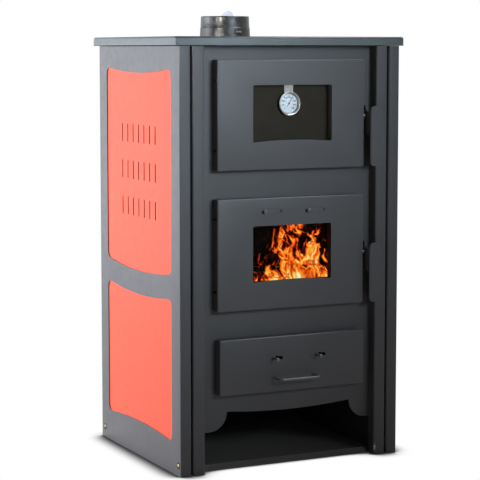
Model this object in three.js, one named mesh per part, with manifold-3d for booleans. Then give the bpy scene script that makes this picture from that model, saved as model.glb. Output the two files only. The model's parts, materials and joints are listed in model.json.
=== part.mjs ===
import * as THREE from 'three';
import { mergeVertices } from 'three/addons/utils/BufferGeometryUtils.js';
import Module from 'manifold-3d';

// Wood cookstove: a firebox with an oven over it, an ash drawer and a wood store under it,
// in a folded sheet casing with pressed side panels. Lengths are in millimetres.
// X runs to the right along the front, Y from the front to the back and Z up.
// The origin is on the floor, under the middle of the casing.

const wasm = await Module();
wasm.setup();

// ---------------------------------------------------------------- driving dimensions

const GAP = 0.3; // clearance between pieces that are welded, clamped or rest on each other

// Casing
const CASING_WIDTH = 550;
const CASING_DEPTH = 470;
const TOP_HEIGHT = 965; // floor to the face of the top frame
const CASING_SHEET = 2;
const FLANGE_WIDTH = 27; // front flange of a side casing
const FLANGE_RETURN = 22;
const FLANGE_BEND = 5; // outer radius of the flange's inner edge
const BACK_FLANGE = 20;
const BACK_VENT = { columns: 5, length: 60, height: 8, pitch: 85, margin: 116 };
const CORNER_BEND = 2.5;

// Pressed cut-outs of a side casing, with the panels behind them
const CUTOUT_MARGIN = 47; // casing edge to the straight side of a cut-out
const UPPER_CUTOUT = { bottom: 442, top: 893, bottomArch: -11, topArch: -9.5 };
const LOWER_CUTOUT = { bottom: 72.5, top: 387.5, bottomArch: 8.5, topArch: -10.5 };
const CUTOUT_CORNER = 20;
const PANEL_SHEET = 1.5;
const PANEL_OVERLAP = 11;
const VENT = { columns: 7, rows: 3, width: 5, height: 42, pitchY: 32, pitchZ: 84.5, lowest: 555.5 };

// Front
const GROOVE = 4; // between casing flange and post
const POST_WIDTH = 29;
const POST_SHEET = 2;
const POST_BEND = 4.5;
const PLATE_SETBACK = 27; // casing face to front plate
const PLATE_SHEET = 4;
const APRON = { ear: 87.5, middle: 122.5, earRadius: 43, postInset: 59, shift: 7 };

// Body
const BODY_SHEET = 4;
const BODY_BACK_GAP = 24; // casing back to the outside of the body's back wall
const BASE_SHEET = 3;
const BASE_LIP = 14;
const BASE_LIP_CHAMFER = 11;

// Top
const FRAME_HEIGHT = 20;
const FRAME_SHEET = 3;
const FRAME_EDGE = 5; // rounding of the top edge
const FRAME_SIDE_OVERHANG = 10;
const FRAME_FRONT_OVERHANG = 4.5;
const FRAME_BACK_OVERHANG = 15;
const FRAME_RIB = 6;
const RIB_OVERLAP = { side: 1.5, front: 0.5, back: 1.5 }; // ribs past the casing's faces
const POCKET_MARGIN = 3; // cooking plate's pocket past the body's walls and the front plate
const PLATE_LEDGE = 11; // width of the ledge under the cooking plate
const COOKING_PLATE_THICKNESS = 8;
const COOKING_PLATE_DROP = 1.7; // its face below the frame's
const LID_RADIUS = 98;
const LID_SEAT = 10;
const LID_RIM = 3.7;
const LID_SIDES = 48; // flats round the lid, and round its seat
const LID_SETBACK = 150; // casing face to the lid's centre

// Flue collar and damper
const FLUE_SETBACK = 349; // casing face to the collar's axis
const FLUE_BASE_RADIUS = 60.5;
const FLUE_RIM_RADIUS = 57.5;
const FLUE_WALL = 4;
const FLUE_RISE = 50; // above the top frame
const FLUE_STEP = 23;
const FLUE_FLANGE = 14;
const FLUE_SIDES = 44; // flats round the collar, and round the plate's hole for it
const DAMPER_RISE = 13.3; // spindle above the top frame
const DAMPER_RADIUS = 50.5;
const DAMPER_SHEET = 1.5;
const DAMPER_TILT = 8.5; // degrees from upright
const SPINDLE_RADIUS = 3;
const SPINDLE_TAB = 13;

// Doors
const POST_TO_DOOR = 31;
const DOOR_SHIFT = -0.5; // middle of the doors from the middle of the casing
const DOOR_SHEET = 2.5;
const DOOR_STANDOFF = 2; // door box to front plate
const DOOR_EDGE = 3;
const OPENING_INSET = 28; // door edge to the opening behind it
const WINDOW = { margin: 85.25, height: 126, rise: 61.5, shift: 1.3, arch: 4, corner: 5 };
const GLASS_THICKNESS = 4;
const GLASS_OVERLAP = 12;
const LINER_SHEET = 2;
const SEAL_WIDTH = 6;
const OVEN_DOOR = { bottom: 671, height: 243.5 };
const FIRE_DOOR = { bottom: 359.5, height: 249.5 };

// Door hinges
const HINGE_INSET = 7; // pin to the door's left and front faces
const HINGE_RISE = 44; // pins from the door's lower and upper edges
const PIN_RADIUS = 2.5;
const LUG_RADIUS = 4;
const LUG_THICKNESS = 5;
const EAR_THICKNESS = 4;
const RUNNING_CLEARANCE = 0.5;

// Door handles
const HANDLE_SHEET = 4;
const HANDLE_HEIGHT = 136;
const HANDLE_WIDTH = 33;
const HANDLE_STANDOFF = 18; // blade face in front of the door
const HANDLE_GAP = 7.5; // door edge to the handle's arm
const HANDLE_RISE = 2; // blade's lower end above the door's
const HANDLE_PIVOT = { rise: 112, depth: 12, radius: 3, collar: 6 };
const HANDLE_ARM = { drop: 42, foot: 20, heel: 33, crown: 16, root: 7 }; // from the pivot's level
const NOSE = { reach: 7, drop: 18, rise: 6 }; // behind the front plate, and about the pivot's level
const LATCH_SLOT = { drop: 42, rise: 24, left: 3, right: 7 }; // about the pivot's level and the arm

// Air sliders in the fire door and in the ash drawer
const AIR_SLOT = { length: 47, height: 8.2, pitch: 109, shift: 5 };
const SLIDER_SHEET = 2;
const SLIDER_HEIGHT = 22;
const SLIDER_RAIL = 3;
const RAIL_SHEET = 1.5;
const RAIL_INSET = 25; // ends of the rails from the door's edges, clear of the hinges
const STEM_RADIUS = 3;
const FIRE_SLOT_DROP = 30.6; // door's upper edge to the middle of its slots
const FIRE_KNOB = { radius: 4.6, reach: 9, head: 5 };
const DRAWER_KNOB = { radius: 4.2, reach: 23, head: 4 };
const DRAWER_SLOT_DROP = 48.8;

// Ash drawer
const POST_TO_DRAWER = 32.5;
const DRAWER_HEIGHT = 125.3;
const DRAWER_BOTTOM = 171.5;
const DRAWER_SHIFT = 3.5;
const DRAWER_OPENING_INSET = 22;
const PAN_CLEARANCE = 4;
const PAN_SHEET = 1.5;
const PAN_HEIGHT = 38;
const PAN_LENGTH = 380;
const BAIL = { span: 98.5, shift: 1.5, reach: 35, radius: 3, bend: 9, rise: 32 };

// Oven, firebox and ash chamber
const OVEN_DEPTH = 335;
const OVEN_SHEET = 2.5;
const RACK = { depth: 285, wire: 2.5, bar: 1.6, bars: 9, level: 0.42, ledge: 9, travel: 40 };
const BRICK_THICKNESS = 30;
const BRICK_HEIGHT = 290;
const HEARTH_TOP = 351;
const HEARTH_THICKNESS = 8;
const GRATE = { width: 198, depth: 258, flange: 9, drop: 10, slots: 9, slotWidth: 9 };
const GUARD = { height: 68, foot: 20, overlap: 8 };
const BAFFLE_SLOT = 85; // smoke passage behind the baffle

// Oven thermometer
const DIAL_RADIUS = 21;
const BEZEL_RADIUS = 26.5;
const BEZEL_DEPTH = 8.2;
const DIAL_HEIGHT = 145.6; // dial's centre above the oven door's lower edge
const DIAL_SHIFT = -1; // from the middle of the casing
const NEEDLE_ANGLE = 30; // degrees past upright at rest
const STRAP_WIDTH = 22;
const STRAP_SHEET = 1.2;

// ---------------------------------------------------------------- places that follow

const FRONT = -CASING_DEPTH / 2;
const BACK = CASING_DEPTH / 2;
const SIDE = CASING_WIDTH / 2;
const BODY_TOP = TOP_HEIGHT - FRAME_HEIGHT - GAP;
const POST_OUTER = SIDE - FLANGE_WIDTH - GROOVE;
const POST_INNER = POST_OUTER - POST_WIDTH;
const PLATE_FACE = FRONT + PLATE_SETBACK;
const PLATE_BACK = PLATE_FACE + PLATE_SHEET;
const BODY_SIDE = POST_OUTER - 2 * GAP; // outside of the body's side walls
const BODY_BACK = BACK - BODY_BACK_GAP;
const INSIDE_FRONT = PLATE_BACK + GAP;
const INSIDE_SIDE = BODY_SIDE - BODY_SHEET - GAP;
const INSIDE_BACK = BODY_BACK - BODY_SHEET - GAP;
const DOOR_WIDTH = 2 * (POST_INNER - POST_TO_DOOR);
const DOOR_LEFT = DOOR_SHIFT - DOOR_WIDTH / 2;
const DOOR_RIGHT = DOOR_SHIFT + DOOR_WIDTH / 2;
const DOOR_BOX = PLATE_SETBACK - DOOR_STANDOFF;
const LINER_FRONT = DOOR_BOX - LINER_SHEET;
const GLASS_FRONT = LINER_FRONT - GAP - GLASS_THICKNESS;
const DRAWER_WIDTH = 2 * (POST_INNER - POST_TO_DRAWER);
const DRAWER_LEFT = DRAWER_SHIFT - DRAWER_WIDTH / 2;
const FLUE_Y = FRONT + FLUE_SETBACK;
const COOKING_TOP = TOP_HEIGHT - COOKING_PLATE_DROP;
const COOKING_UNDERSIDE = COOKING_TOP - COOKING_PLATE_THICKNESS;

// ---------------------------------------------------------------- finishes

const finish = (color, roughness, metalness) =>
  new THREE.MeshStandardMaterial({ color, roughness, metalness });
const PAINT = finish(0x5a5f64, 0.55, 0.25);
const CORAL = finish(0xff6e5a, 0.45, 0.05);
const CAST = finish(0x3c3e40, 0.75, 0.5);
const RAW_STEEL = finish(0x55524e, 0.6, 0.7);
const STAINLESS = finish(0xc9ccce, 0.25, 0.95);
const ZINC = finish(0xd8d2b8, 0.35, 0.9);
const GLASS = new THREE.MeshStandardMaterial({
  color: 0x1a1813, roughness: 0.08, metalness: 0, transparent: true, opacity: 0.4 });
const ROPE = finish(0x8d8a82, 0.95, 0);
const BRICK = finish(0xc7b493, 0.95, 0);
const DIAL = finish(0xe9eef2, 0.5, 0);
const RED = finish(0xd02018, 0.4, 0.1);

// ---------------------------------------------------------------- solids

// A closed geometry, welded at its shared corners, as a solid that can be joined and cut.
function solid(geometry) {
  const bare = geometry.clone();
  bare.deleteAttribute('normal');
  bare.deleteAttribute('uv');
  const welded = mergeVertices(bare, 1e-4);
  const corners = welded.index.array;
  const faces = [];
  for (let i = 0; i < corners.length; i += 3) {
    const [a, b, c] = [corners[i], corners[i + 1], corners[i + 2]];
    if (a !== b && b !== c && c !== a) faces.push(a, b, c);
  }
  return new wasm.Manifold(new wasm.Mesh({
    numProp: 3,
    vertProperties: new Float32Array(welded.attributes.position.array),
    triVerts: new Uint32Array(faces),
  }));
}

function geometryOf(body) {
  const { vertProperties, triVerts } = body.getMesh();
  const geometry = new THREE.BufferGeometry();
  geometry.setAttribute('position', new THREE.BufferAttribute(new Float32Array(vertProperties), 3));
  geometry.setIndex(new THREE.BufferAttribute(new Uint32Array(triVerts), 1));
  geometry.computeVertexNormals();
  return geometry;
}

const join = (first, ...others) => others.reduce((body, other) => body.add(other), first);
const cut = (first, ...others) => others.reduce((body, other) => body.subtract(other), first);

function box(x0, x1, y0, y1, z0, z1) {
  const geometry = new THREE.BoxGeometry(x1 - x0, y1 - y0, z1 - z0);
  return solid(geometry.translate((x0 + x1) / 2, (y0 + y1) / 2, (z0 + z1) / 2));
}

// An outline drawn in X and Y, raised along Z.
function alongZ(outline, z0, z1, facets = 2) {
  const depth = z1 - z0;
  const geometry = new THREE.ExtrudeGeometry(outline, { depth, bevelEnabled: false, curveSegments: facets });
  return solid(geometry.translate(0, 0, z0));
}

// An outline drawn in X and Z, raised along Y.
function alongY(outline, y0, y1, facets = 2) {
  const depth = y1 - y0;
  const geometry = new THREE.ExtrudeGeometry(outline, { depth, bevelEnabled: false, curveSegments: facets });
  return solid(geometry.rotateX(Math.PI / 2).translate(0, y1, 0));
}

// An outline drawn in Y and Z, raised along X.
function alongX(outline, x0, x1, facets = 2) {
  const depth = x1 - x0;
  const geometry = new THREE.ExtrudeGeometry(outline, { depth, bevelEnabled: false, curveSegments: facets });
  return solid(geometry.rotateX(Math.PI / 2).rotateZ(Math.PI / 2).translate(x0, 0, 0));
}

// A round rod along one axis, through the given point of the other two.
function rod(axis, radius, from, to, [u, v], sides = 20) {
  const geometry = new THREE.CylinderGeometry(radius, radius, to - from, sides);
  const middle = (from + to) / 2;
  if (axis === 'x') return solid(geometry.rotateZ(-Math.PI / 2).translate(middle, u, v));
  if (axis === 'y') return solid(geometry.translate(u, middle, v));
  return solid(geometry.rotateX(Math.PI / 2).translate(u, v, middle));
}

// A closed profile of [radius, height] points turned about an axis through the origin.
// The profile may run either way round.
function turned(axis, profile, sides = 36) {
  const points = profile.map(([r, h]) => new THREE.Vector2(r, h));
  if (THREE.ShapeUtils.area(points) < 0) points.reverse();
  const closed = points[0].x > 0 ? [...points, points[0].clone()] : points;
  const geometry = new THREE.LatheGeometry(closed, sides);
  if (axis === 'x') geometry.rotateZ(-Math.PI / 2);
  if (axis === 'z') geometry.rotateX(Math.PI / 2);
  return solid(geometry);
}

// The same solid on the other side of the stove's middle plane.
function mirrored(body) {
  const geometry = geometryOf(body).scale(-1, 1, 1);
  const corners = geometry.index.array;
  for (let i = 0; i < corners.length; i += 3) {
    [corners[i], corners[i + 1]] = [corners[i + 1], corners[i]];
  }
  return solid(geometry);
}

// ---------------------------------------------------------------- outlines

// A closed outline through the given corners, each rounded by its own radius.
function outline(corners, radii = 0) {
  const shape = new THREE.Shape();
  const points = corners.map(([u, v]) => new THREE.Vector2(u, v));
  points.forEach((corner, i) => {
    const radius = Array.isArray(radii) ? radii[i] : radii;
    const before = points.at(i - 1).clone().sub(corner).normalize();
    const after = points[(i + 1) % points.length].clone().sub(corner).normalize();
    if (radius <= 0) {
      if (i === 0) shape.moveTo(corner.x, corner.y);
      else shape.lineTo(corner.x, corner.y);
      return;
    }
    const half = Math.acos(before.dot(after)) / 2;
    const start = corner.clone().addScaledVector(before, radius / Math.tan(half));
    const end = corner.clone().addScaledVector(after, radius / Math.tan(half));
    const inward = before.clone().add(after).normalize();
    const centre = corner.clone().addScaledVector(inward, radius / Math.sin(half));
    const angle = (point) => Math.atan2(point.y - centre.y, point.x - centre.x);
    if (i === 0) shape.moveTo(start.x, start.y);
    shape.absarc(centre.x, centre.y, radius, angle(start), angle(end), before.cross(after) > 0);
  });
  shape.closePath();
  return shape;
}

const rectangle = (u0, u1, v0, v1, radius = 0) =>
  outline([[u0, v0], [u1, v0], [u1, v1], [u0, v1]], radius);

// A sheet folded along the corners of its outer line, with its thickness on the line's left.
// Each bend has the radius of its outer side.
function foldedSheet(line, thickness, bends) {
  const points = line.map(([u, v]) => new THREE.Vector2(u, v));
  const normals = points.slice(1).map((point, i) => {
    const along = point.clone().sub(points[i]).normalize();
    return new THREE.Vector2(-along.y, along.x);
  });
  const inner = points.map((point, i) => {
    const a = normals[Math.max(i - 1, 0)];
    const b = normals[Math.min(i, normals.length - 1)];
    const mitre = a.clone().add(b).normalize();
    return point.clone().addScaledVector(mitre, thickness / mitre.dot(a));
  });
  const corners = [...points, ...inner.reverse()].map(({ x, y }) => [x, y]);
  const outerRadii = points.map((_, i) => (i > 0 && i < points.length - 1 ? bends[i - 1] : 0));
  const innerRadii = outerRadii.map((radius) => Math.max(radius - thickness, 0)).reverse();
  return outline(corners, [...outerRadii, ...innerRadii]);
}

// A rectangle with rounded corners whose lower and upper edges bow up by the given rises.
function archedRectangle(u0, u1, v0, v1, bottomRise, topRise, corner) {
  const middle = (u0 + u1) / 2;
  const run = u1 - u0 - 2 * corner;
  const bottomSlope = 4 * bottomRise / run;
  const topSlope = 4 * topRise / run;
  const shape = new THREE.Shape();
  shape.moveTo(u0, v0 + corner);
  shape.quadraticCurveTo(u0, v0 - corner * bottomSlope, u0 + corner, v0);
  shape.quadraticCurveTo(middle, v0 + 2 * bottomRise, u1 - corner, v0);
  shape.quadraticCurveTo(u1, v0 - corner * bottomSlope, u1, v0 + corner);
  shape.lineTo(u1, v1 - corner);
  shape.quadraticCurveTo(u1, v1 - corner * topSlope, u1 - corner, v1);
  shape.quadraticCurveTo(middle, v1 + 2 * topRise, u0 + corner, v1);
  shape.quadraticCurveTo(u0, v1 - corner * topSlope, u0, v1 - corner);
  return shape;
}

// A slab whose far edge all round is rounded, drawn with its outline already smaller by the rounding.
function roundedSlab(inset, depth, edge) {
  return new THREE.ExtrudeGeometry(inset, {
    depth: depth - edge,
    bevelEnabled: true,
    bevelThickness: edge,
    bevelSize: edge,
    bevelSegments: 3,
    curveSegments: 1,
  });
}

// ---------------------------------------------------------------- the scene

const stove = new THREE.Group();

function add(parent, name, body, material) {
  const mesh = new THREE.Mesh(geometryOf(body), material);
  mesh.name = name;
  parent.add(mesh);
}

function addPair(parent, name, leftBody, material) {
  add(parent, `${name}_left`, leftBody, material);
  add(parent, `${name}_right`, mirrored(leftBody), material);
}

// ---------------------------------------------------------------- casing

function cutoutShape({ bottom, top, bottomArch, topArch }) {
  const y0 = FRONT + CUTOUT_MARGIN;
  const y1 = BACK - CUTOUT_MARGIN;
  return archedRectangle(y0, y1, bottom, top, bottomArch, topArch, CUTOUT_CORNER);
}

function sideCasing() {
  const flangeEdge = -SIDE + FLANGE_WIDTH;
  const line = [
    [-SIDE + BACK_FLANGE, BACK],
    [-SIDE, BACK],
    [-SIDE, FRONT],
    [flangeEdge, FRONT],
    [flangeEdge, FRONT + FLANGE_RETURN],
  ];
  const sheet = foldedSheet(line, CASING_SHEET, [CORNER_BEND, CORNER_BEND, FLANGE_BEND]);
  const through = (shape) => alongX(shape, -SIDE - 1, -SIDE + CASING_SHEET + 1, 7);
  return cut(
    alongZ(sheet, 0, BODY_TOP),
    through(cutoutShape(UPPER_CUTOUT)),
    through(cutoutShape(LOWER_CUTOUT)),
  );
}

// A flat panel behind a cut-out, reaching past its edge all round.
function sidePanel({ bottom, top, bottomArch, topArch }) {
  const x = -SIDE + CASING_SHEET + GAP;
  const y0 = FRONT + CUTOUT_MARGIN - PANEL_OVERLAP;
  const z0 = bottom - PANEL_OVERLAP + Math.min(bottomArch, 0);
  const z1 = top + PANEL_OVERLAP + Math.max(topArch, 0);
  return box(x, x + PANEL_SHEET, y0, -y0, z0, z1);
}

// An upright vent slot, its ends rounded by a facet at each corner.
function roundEndedSlot(y, z) {
  const half = VENT.width / 2;
  const flat = half * 0.45;
  const rise = half * 0.75;
  const top = z + VENT.height;
  return outline([
    [y - flat, z], [y + flat, z], [y + half, z + rise], [y + half, top - rise],
    [y + flat, top], [y - flat, top], [y - half, top - rise], [y - half, z + rise],
  ]);
}

function ventedPanel() {
  const outer = -SIDE + CASING_SHEET;
  let panel = sidePanel(UPPER_CUTOUT);
  for (let row = 0; row < VENT.rows; row += 1) {
    for (let column = 0; column < VENT.columns; column += 1) {
      const y = (column - (VENT.columns - 1) / 2) * VENT.pitchY;
      const z = VENT.lowest + row * VENT.pitchZ;
      panel = panel.subtract(alongX(roundEndedSlot(y, z), outer, outer + PANEL_SHEET + 2));
    }
  }
  return panel;
}

// Rear heat shield between the back flanges, with a row of vent slots low down and one high up.
function backPanel() {
  const { columns, length, height, pitch, margin } = BACK_VENT;
  const y1 = BACK - CASING_SHEET - GAP;
  const reach = SIDE - CASING_SHEET - 3 * GAP;
  let panel = box(-reach, reach, y1 - PANEL_SHEET, y1, BASE_SHEET, BODY_TOP);
  for (const z of [margin, TOP_HEIGHT - margin]) {
    for (let column = 0; column < columns; column += 1) {
      const x = (column - (columns - 1) / 2) * pitch;
      const slot = rectangle(x - length / 2, x + length / 2, z - height / 2, z + height / 2, height * 0.49);
      panel = panel.subtract(alongY(slot, y1 - PANEL_SHEET - 1, y1 + 1, 1));
    }
  }
  return panel;
}

// ---------------------------------------------------------------- front and body

function innerPost() {
  const line = [
    [-POST_OUTER, PLATE_FACE - GAP],
    [-POST_OUTER, FRONT],
    [-POST_INNER, FRONT],
    [-POST_INNER, PLATE_FACE - GAP],
  ];
  return alongZ(foldedSheet(line, POST_SHEET, [POST_BEND, POST_BEND]), 0, BODY_TOP);
}

function doorOpening(door) {
  return rectangle(
    DOOR_LEFT + OPENING_INSET,
    DOOR_RIGHT - OPENING_INSET,
    door.bottom + OPENING_INSET,
    door.bottom + door.height - OPENING_INSET,
  );
}

function drawerOpening() {
  return rectangle(
    DRAWER_LEFT + DRAWER_OPENING_INSET,
    DRAWER_LEFT + DRAWER_WIDTH - DRAWER_OPENING_INSET,
    DRAWER_BOTTOM + DRAWER_OPENING_INSET - PAN_CLEARANCE,
    DRAWER_BOTTOM + DRAWER_HEIGHT - DRAWER_OPENING_INSET,
  );
}

// The slot that a handle's latch nose passes through.
function latchSlot(door) {
  const arm = DOOR_RIGHT + HANDLE_GAP;
  const pivot = door.bottom + HANDLE_RISE + HANDLE_PIVOT.rise;
  return rectangle(
    arm - LATCH_SLOT.left,
    arm + HANDLE_SHEET + LATCH_SLOT.right,
    pivot - LATCH_SLOT.drop,
    pivot + LATCH_SLOT.rise,
  );
}

// The plate's lower edge: an ear at each post, joined by an apron that bows down in the middle.
function frontPlateOutline() {
  const reach = POST_OUTER - GAP;
  const { ear, middle, earRadius, postInset, shift } = APRON;
  const shoulder = ear + earRadius;
  const left = shift - (POST_INNER - postInset);
  const right = shift + (POST_INNER - postInset);
  const shape = new THREE.Shape();
  shape.moveTo(-reach, BODY_TOP);
  shape.lineTo(-reach, ear);
  shape.lineTo(left - earRadius, ear);
  shape.absarc(left - earRadius, shoulder, earRadius, -Math.PI / 2, 0, false);
  shape.quadraticCurveTo(shift, 2 * middle - shoulder, right, shoulder);
  shape.absarc(right + earRadius, shoulder, earRadius, Math.PI, 1.5 * Math.PI, false);
  shape.lineTo(reach, ear);
  shape.lineTo(reach, BODY_TOP);
  shape.closePath();
  return shape;
}

function frontPlate() {
  const through = (shape) => alongY(shape, PLATE_FACE - 1, PLATE_BACK + 1, 2);
  return cut(
    alongY(frontPlateOutline(), PLATE_FACE, PLATE_BACK, 6),
    through(doorOpening(OVEN_DOOR)),
    through(doorOpening(FIRE_DOOR)),
    through(drawerOpening()),
    through(latchSlot(OVEN_DOOR)),
    through(latchSlot(FIRE_DOOR)),
  );
}

function bodySideWall() {
  return box(-BODY_SIDE, -BODY_SIDE + BODY_SHEET, INSIDE_FRONT, BODY_BACK, 0, BODY_TOP);
}

function bodyBackWall() {
  return box(-INSIDE_SIDE, INSIDE_SIDE, BODY_BACK - BODY_SHEET, BODY_BACK, 0, BODY_TOP);
}

// The wood store's floor, with a low lip folded up behind the apron.
function basePlate() {
  const lipFace = PLATE_FACE + DOOR_SHEET;
  const lipReach = POST_INNER;
  const floor = box(-INSIDE_SIDE, INSIDE_SIDE, INSIDE_FRONT, INSIDE_BACK, 0, BASE_SHEET);
  const tongue = box(-lipReach, lipReach, lipFace, INSIDE_FRONT + 5, 0, BASE_SHEET);
  const lip = outline([
    [-lipReach, 0],
    [lipReach, 0],
    [lipReach - BASE_LIP_CHAMFER, BASE_LIP],
    [-lipReach + BASE_LIP_CHAMFER, BASE_LIP],
  ]);
  return join(floor, tongue, alongY(lip, lipFace, lipFace + BASE_SHEET));
}

// ---------------------------------------------------------------- top

const PLATE_POCKET = {
  side: BODY_SIDE + POCKET_MARGIN,
  front: PLATE_FACE - POCKET_MARGIN,
  back: BODY_BACK + POCKET_MARGIN,
};

// The frame round the cooking plate: a rounded outer lip, a ledge for the plate and bearing
// ribs that stand on the casing and on the body.
function topFrame() {
  const x1 = SIDE + FRAME_SIDE_OVERHANG;
  const y0 = FRONT - FRAME_FRONT_OVERHANG;
  const y1 = BACK + FRAME_BACK_OVERHANG;
  const z0 = TOP_HEIGHT - FRAME_HEIGHT;
  const underside = TOP_HEIGHT - FRAME_SHEET;
  const inset = rectangle(-x1 + FRAME_EDGE, x1 - FRAME_EDGE, y0 + FRAME_EDGE, y1 - FRAME_EDGE, 1);
  const block = cut(
    solid(roundedSlab(inset, FRAME_HEIGHT, FRAME_EDGE).translate(0, 0, z0)),
    box(-x1 - 1, x1 + 1, y0 - 1, y1 + 1, z0 - 2 * FRAME_EDGE, z0),
  );
  // A rectangle about the middle plane, as [side, front, back], and the same one grown outwards.
  const slab = ([side, front, back], low, high) => box(-side, side, front, back, low, high);
  const grown = ([side, front, back], by) => [side + by, front - by, back + by];
  const groove = (outer, inner) => cut(slab(outer, z0 - 1, underside), slab(inner, z0 - 2, underside + 1));
  const pocket = [PLATE_POCKET.side, PLATE_POCKET.front, PLATE_POCKET.back];
  const ribs = [SIDE + RIB_OVERLAP.side, FRONT - RIB_OVERLAP.front, BACK + RIB_OVERLAP.back];
  return cut(
    block,
    groove(grown([x1, y0, y1], -FRAME_SHEET), ribs),
    groove(grown(ribs, -FRAME_RIB), grown(pocket, FRAME_SHEET)),
    slab(grown(pocket, -PLATE_LEDGE), z0 - 1, TOP_HEIGHT + 1),
    slab(pocket, COOKING_UNDERSIDE - GAP, TOP_HEIGHT + 1),
  );
}

const LID_Y = FRONT + LID_SETBACK;

function cookingPlate() {
  const { side, front, back } = PLATE_POCKET;
  const slab = rectangle(-side + GAP, side - GAP, front + GAP, back - GAP, 3);
  const under = COOKING_UNDERSIDE - 1;
  const above = COOKING_TOP + 1;
  const seat = COOKING_TOP - LID_RIM - GAP;
  return cut(
    alongZ(slab, COOKING_UNDERSIDE, COOKING_TOP),
    rod('z', LID_RADIUS - LID_SEAT, under, above, [0, LID_Y], LID_SIDES),
    rod('z', LID_RADIUS + RUNNING_CLEARANCE, seat, above, [0, LID_Y], LID_SIDES),
    rod('z', FLUE_BASE_RADIUS + RUNNING_CLEARANCE, under, above, [0, FLUE_Y], FLUE_SIDES),
  );
}

// A stepped round lid with a slot for the lifting tool.
function cookingLid() {
  const boss = LID_RADIUS - LID_SEAT - RUNNING_CLEARANCE;
  const disc = turned('z', [
    [0, COOKING_UNDERSIDE + GAP],
    [boss, COOKING_UNDERSIDE + GAP],
    [boss, COOKING_TOP - LID_RIM],
    [LID_RADIUS, COOKING_TOP - LID_RIM],
    [LID_RADIUS, COOKING_TOP],
    [0, COOKING_TOP],
  ], LID_SIDES);
  const slotEnd = LID_RADIUS * 0.62;
  const slot = rectangle(slotEnd - 24, slotEnd, -5, 5, 4.9);
  return disc.subtract(alongZ(slot, COOKING_TOP - 4, COOKING_TOP + 1)).translate(0, LID_Y, 0);
}

// ---------------------------------------------------------------- flue collar and damper

function flueRadiusAt(height) {
  return FLUE_BASE_RADIUS + (FLUE_RIM_RADIUS - FLUE_BASE_RADIUS) * height / FLUE_RISE;
}

// A slightly tapered spigot with a rounded rim, flat on top, a turned step and a flange under the plate.
function flueCollar() {
  const z = TOP_HEIGHT;
  const rim = z + FLUE_RISE;
  const flangeTop = COOKING_UNDERSIDE - GAP;
  const flangeBottom = flangeTop - FLUE_WALL;
  const outer = FLUE_BASE_RADIUS + FLUE_FLANGE;
  const step = 0.5;
  const body = turned('z', [
    [FLUE_BASE_RADIUS - FLUE_WALL, flangeBottom],
    [outer, flangeBottom],
    [outer, flangeTop],
    [FLUE_BASE_RADIUS, flangeTop],
    [flueRadiusAt(0), z],
    [flueRadiusAt(FLUE_STEP), z + FLUE_STEP],
    [flueRadiusAt(FLUE_STEP) - step, z + FLUE_STEP + step],
    [flueRadiusAt(FLUE_RISE - 4), rim - 4],
    [flueRadiusAt(FLUE_RISE) - 0.6, rim - 1.6],
    [FLUE_RIM_RADIUS - 2, rim],
    [FLUE_RIM_RADIUS - FLUE_WALL + 0.5, rim],
    [FLUE_RIM_RADIUS - FLUE_WALL, rim - 0.5],
  ], FLUE_SIDES);
  const bore = SPINDLE_RADIUS + RUNNING_CLEARANCE;
  const slot = rectangle(-bore, SPINDLE_TAB + 1.5, z + DAMPER_RISE - 4.3, z + DAMPER_RISE + 4.3, 1);
  return cut(
    body,
    alongY(slot, -FLUE_BASE_RADIUS - 1, -FLUE_BASE_RADIUS / 2),
    rod('y', bore, 0, FLUE_BASE_RADIUS + 1, [0, z + DAMPER_RISE], 16),
  ).translate(0, FLUE_Y, 0);
}

// The butterfly disc, upright in the group's own frame, with a hub along its spindle.
function damperDisc() {
  const hub = SPINDLE_RADIUS + 1.8;
  return cut(
    join(
      rod('x', DAMPER_RADIUS, -DAMPER_SHEET / 2, DAMPER_SHEET / 2, [0, 0], 40),
      rod('y', hub, -DAMPER_RADIUS * 0.8, DAMPER_RADIUS * 0.8, [0, 0], 12),
    ),
    rod('y', SPINDLE_RADIUS + GAP, -DAMPER_RADIUS - 1, DAMPER_RADIUS + 1, [0, 0], 16),
  );
}

// The spindle, with a flat tab bent to the right in front of the collar.
function damperSpindle() {
  const tabFront = -FLUE_BASE_RADIUS - 4;
  const shaft = rod('y', SPINDLE_RADIUS, tabFront, FLUE_BASE_RADIUS + 2, [0, 0], 16);
  return shaft.add(box(0, SPINDLE_TAB, tabFront, tabFront + 3, -1.8, 1.8));
}

function addDamper() {
  const damper = new THREE.Group();
  damper.position.set(0, FLUE_Y, TOP_HEIGHT + DAMPER_RISE);
  const leaning = new THREE.Group();
  leaning.rotation.y = THREE.MathUtils.degToRad(DAMPER_TILT);
  add(leaning, 'damper_disc', damperDisc(), ZINC);
  damper.add(leaning);
  add(damper, 'damper_spindle', damperSpindle(), ZINC);
  stove.add(damper);
}

// ---------------------------------------------------------------- doors

// The door pieces are drawn from the door's lower left front corner.

// A pressed tray: a face and four walls, open at the back, with its front edges rounded.
function pressedTray(width, height) {
  const inset = rectangle(DOOR_EDGE, width - DOOR_EDGE, DOOR_EDGE, height - DOOR_EDGE, 0.5);
  const slab = roundedSlab(inset, DOOR_BOX, DOOR_EDGE).rotateX(Math.PI / 2);
  return cut(
    solid(slab.translate(0, DOOR_BOX, 0)),
    box(-1, width + 1, DOOR_BOX, DOOR_BOX + 2 * DOOR_EDGE, -1, height + 1),
    box(DOOR_SHEET, width - DOOR_SHEET, DOOR_SHEET, DOOR_BOX + 1, DOOR_SHEET, height - DOOR_SHEET),
  );
}

const WINDOW_WIDTH = DOOR_WIDTH - 2 * WINDOW.margin;
const WINDOW_LEFT = WINDOW.margin + WINDOW.shift;

function windowRectangle(grow, corner = 2) {
  return rectangle(
    WINDOW_LEFT - grow,
    WINDOW_LEFT + WINDOW_WIDTH + grow,
    WINDOW.rise - grow,
    WINDOW.rise + WINDOW.height + grow,
    corner,
  );
}

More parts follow.
